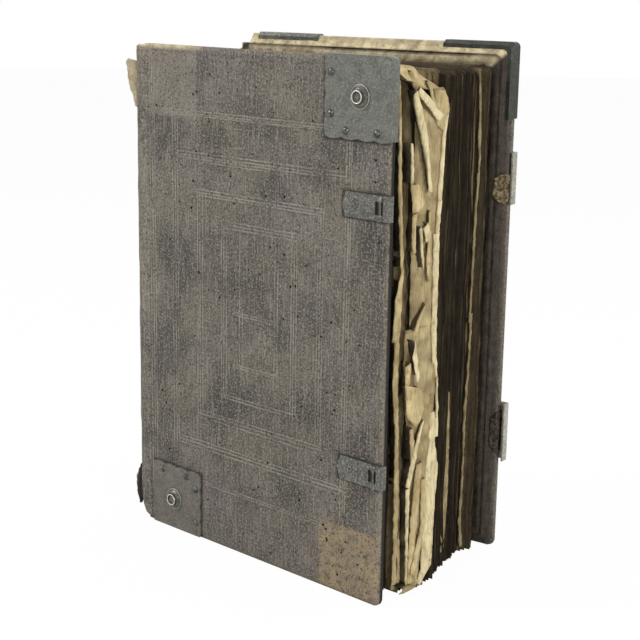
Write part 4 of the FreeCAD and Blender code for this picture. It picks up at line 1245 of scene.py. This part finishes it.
def turned_boss(node, side, x, z, sides=40):
    """The profile carried round an axis that stands on the plate at x, z."""
    angles = np.linspace(0, 2 * np.pi, sides, endpoint=False)
    points, rub_and_highlight, dark = [], [], []
    for radius, height, shine, shadow in PROFILE:
        for angle in angles:
            points.append((x + radius * math.cos(angle), -PLATE - height, z + radius * math.sin(angle)))
            rub_and_highlight.append(shine)
            dark.append(shadow)
    rings = len(PROFILE)
    faces = [(r * sides + k, r * sides + (k + 1) % sides, (r + 1) * sides + (k + 1) % sides,
              (r + 1) * sides + k) for r in range(rings - 1) for k in range(sides)]
    faces.append(tuple((rings - 1) * sides + k for k in range(sides)))
    faces.append(tuple(k for k in reversed(range(sides))))
    # The light mark is rubbing with a painted highlight on the bead and the ring; the dark mark is painted
    # shade in the boss's hollows and where it meets the plate.
    piece = mesh_piece("turned_" + node, points, faces, worn_brass, side,
                       {"rub_and_highlight": rub_and_highlight, "soot_and_shade": dark})
    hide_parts(node)
    return piece


bosses = [turned_boss(*boss) for boss in BOSSES]
print("bosses:", [piece.name for piece in bosses])

# %% [markdown]
# ## Nails, punches and beetle holes
#
# What repeats is made by one Geometry Nodes tree: it sets a small form on every point of a mesh,
# at the size that the point carries, and turns the copies into real faces. Domed nails use a
# flattened ball, and punched or gnawed holes use a near-black disc that lies on the surface,
# painted shade in place of the hollow.

# %% One tree for all small forms
SMALL_FORMS = {
    "domed_nails": ("GeometryNodeMeshUVSphere", {"Segments": 14, "Rings": 8, "Radius": 1.0}),
    "dark_holes": ("GeometryNodeMeshCylinder", {"Vertices": 9, "Radius": 1.0, "Depth": 0.5}),
}


def form_tree(name):
    """A node group that puts a form on every point, with its size, flattening and material."""
    kind, settings = SMALL_FORMS[name]
    tree = bpy.data.node_groups.new(name, "GeometryNodeTree")
    sockets = {}
    for label, socket, way in (("Places", "NodeSocketGeometry", "INPUT"),
                               ("Height", "NodeSocketFloat", "INPUT"),
                               ("Finish", "NodeSocketMaterial", "INPUT"),
                               ("Forms", "NodeSocketGeometry", "OUTPUT")):
        sockets[label] = tree.interface.new_socket(label, in_out=way, socket_type=socket).identifier
    given = tree.nodes.new("NodeGroupInput")
    form = add(tree, kind, settings)
    flat = add(tree, "ShaderNodeCombineXYZ", {"X": 1.0, "Y": 1.0, "Z": given.outputs["Height"]})
    form = add(tree, "GeometryNodeTransform", {"Geometry": form.outputs["Mesh"],
               "Scale": flat.outputs[0], "Rotation": (math.pi / 2, 0, 0)})
    size = add(tree, "GeometryNodeInputNamedAttribute", {"Name": "size"}, data_type="FLOAT")
    copies = add(tree, "GeometryNodeInstanceOnPoints",
                 {"Points": given.outputs["Places"], "Instance": form.outputs[0],
                  "Scale": size.outputs[0]})
    real = add(tree, "GeometryNodeRealizeInstances", {"Geometry": copies.outputs[0]})
    done = add(tree, "GeometryNodeSetMaterial",
               {"Geometry": real.outputs[0], "Material": given.outputs["Finish"]})
    result = tree.nodes.new("NodeGroupOutput")
    tree.links.new(done.outputs[0], result.inputs["Forms"])
    return tree, sockets


TREES = {name: form_tree(name) for name in SMALL_FORMS}
print("trees:", list(TREES))


# %% Put forms on points
def forms_on(name, kind, places, height, material, side):
    """One mesh of small forms. Places are x, depth, z and size, in the frame of a cover."""
    tree, sockets = TREES[kind]
    mesh = bpy.data.meshes.new(name)
    mesh.from_pydata([place[:3] for place in places], [], [])
    sizes = mesh.attributes.new("size", "FLOAT", "POINT")
    sizes.data.foreach_set("value", [place[3] for place in places])
    piece = bpy.data.objects.new(name, mesh)
    bpy.context.scene.collection.objects.link(piece)
    forms = piece.modifiers.new(kind, "NODES")
    forms.node_group = tree
    forms[sockets["Height"]] = height
    forms[sockets["Finish"]] = material
    made_real(piece, forms)
    piece.data.transform(Matrix.Scale(MM, 4) @ PLACES[side])
    piece.data.shade_smooth()
    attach(piece, BODIES[side])
    return piece


# %% Domed nails
HEAD_NAILS = [(192.1, 369), (192.1, 341.5), (233.3, 330.9), (205.8, 330.9)]
TAIL_NAILS = [(56.2, 11), (56.2, 38.5), (18, 46.4), (45.5, 46.4)]
REAR_NAILS = [(183.8, 11), (183.8, 38.5), (225, 49.1), (197.5, 49.1),
              (59.2, 11), (59.2, 38.5), (18, 49.1), (45.5, 49.1)]
CATCHES = {"upper": 282.0, "lower": 95.3}
ANCHORS = {"upper": (97.4, 14.7), "lower": (292.3, 18.05)}
NAIL, RIVET = 2.7, 1.5

front_nails = forms_on("front_nails", "domed_nails",
                       [(x, -PLATE, z, NAIL) for x, z in HEAD_NAILS + TAIL_NAILS], 0.62,
                       nail_brass, "front")
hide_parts("front_head_nails", "front_tail_nails")
rivets = forms_on("catch_rivets", "domed_nails",
                  [(x, -PLATE, z, RIVET) for z in CATCHES.values() for x in (208.7, 230.1)], 0.5,
                  catch_brass, "front")
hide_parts("upper_catch_rivets", "lower_catch_rivets")
anchor_heads = [(226.8, -PLATE, z + way * half, NAIL) for z, half in ANCHORS.values() for way in (-1, 1)]
rear_nails = forms_on("rear_nails", "domed_nails",
                      [(x, -PLATE, z, NAIL) for x, z in REAR_NAILS] + anchor_heads, 0.62,
                      nail_brass, "rear")
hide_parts("rear_head_fore_nails", "rear_head_spine_nails", "upper_anchor_nails",
            "lower_anchor_nails")
print("nails:", len(front_nails.data.polygons), len(rivets.data.polygons), len(rear_nails.data.polygons))

# %% Punched ornament of the catches
ROSETTE = 215.8
punches = []
for middle in CATCHES.values():
    for k in range(8):
        turn = 2 * math.pi * k / 8
        punches.append((ROSETTE + 2.9 * math.cos(turn), -PLATE, middle + 0.8 + 2.9 * math.sin(turn), 0.42))
    punches.append((ROSETTE, -PLATE, middle + 0.8, 0.6))
    punches += [(223.8, -PLATE, middle - 6.3 + 1.4 * k, 0.36) for k in range(10)]
    punches += [(237.3, -PLATE, middle - 5 + 0.9 * k, 0.95) for k in range(12)]
# Each punch is a near-black disc, painted shade in place of its hollow.
forms_on("catch_punches", "dark_holes", punches, 1.0, hole_shade, "front")
print("punches:", len(punches))

# %% Beetle holes in the leather
SCATTERED = 88
dice = np.random.default_rng(2024)
holes = []


def on_metal(x, z):
    """Whether a point of the front cover is on or right beside a plate or a catch."""
    on_catch = x > 200 and min(abs(z - 282), abs(z - 95)) < 12
    return (x > 180 and z > 320) or (x < 66 and z < 58) or on_catch


while len(holes) < SCATTERED:
    x, z = dice.uniform(8, 238), dice.uniform(8, 372)
    if not on_metal(x, z):
        holes.append((x, z, dice.uniform(0.6, 0.95)))
# These few are in and near the tan patch, where they show best.
holes += [(191, 47, 1.0), (194, 44.5, 0.8), (194.4, 37.5, 0.8), (195, 36.2, 0.9), (224.5, 26, 0.8),
          (209, 31, 0.7), (201, 18, 0.6)]
# Each beetle hole is a near-black disc, painted shade in place of its hollow.
places = [(x, float(face_depth("front", np.array(x), np.array(z))) - 0.06, z, size)
          for x, z, size in holes]
beetle_holes = forms_on("beetle_holes", "dark_holes", places, 1.0, hole_shade, "front")
print("holes:", len(holes))
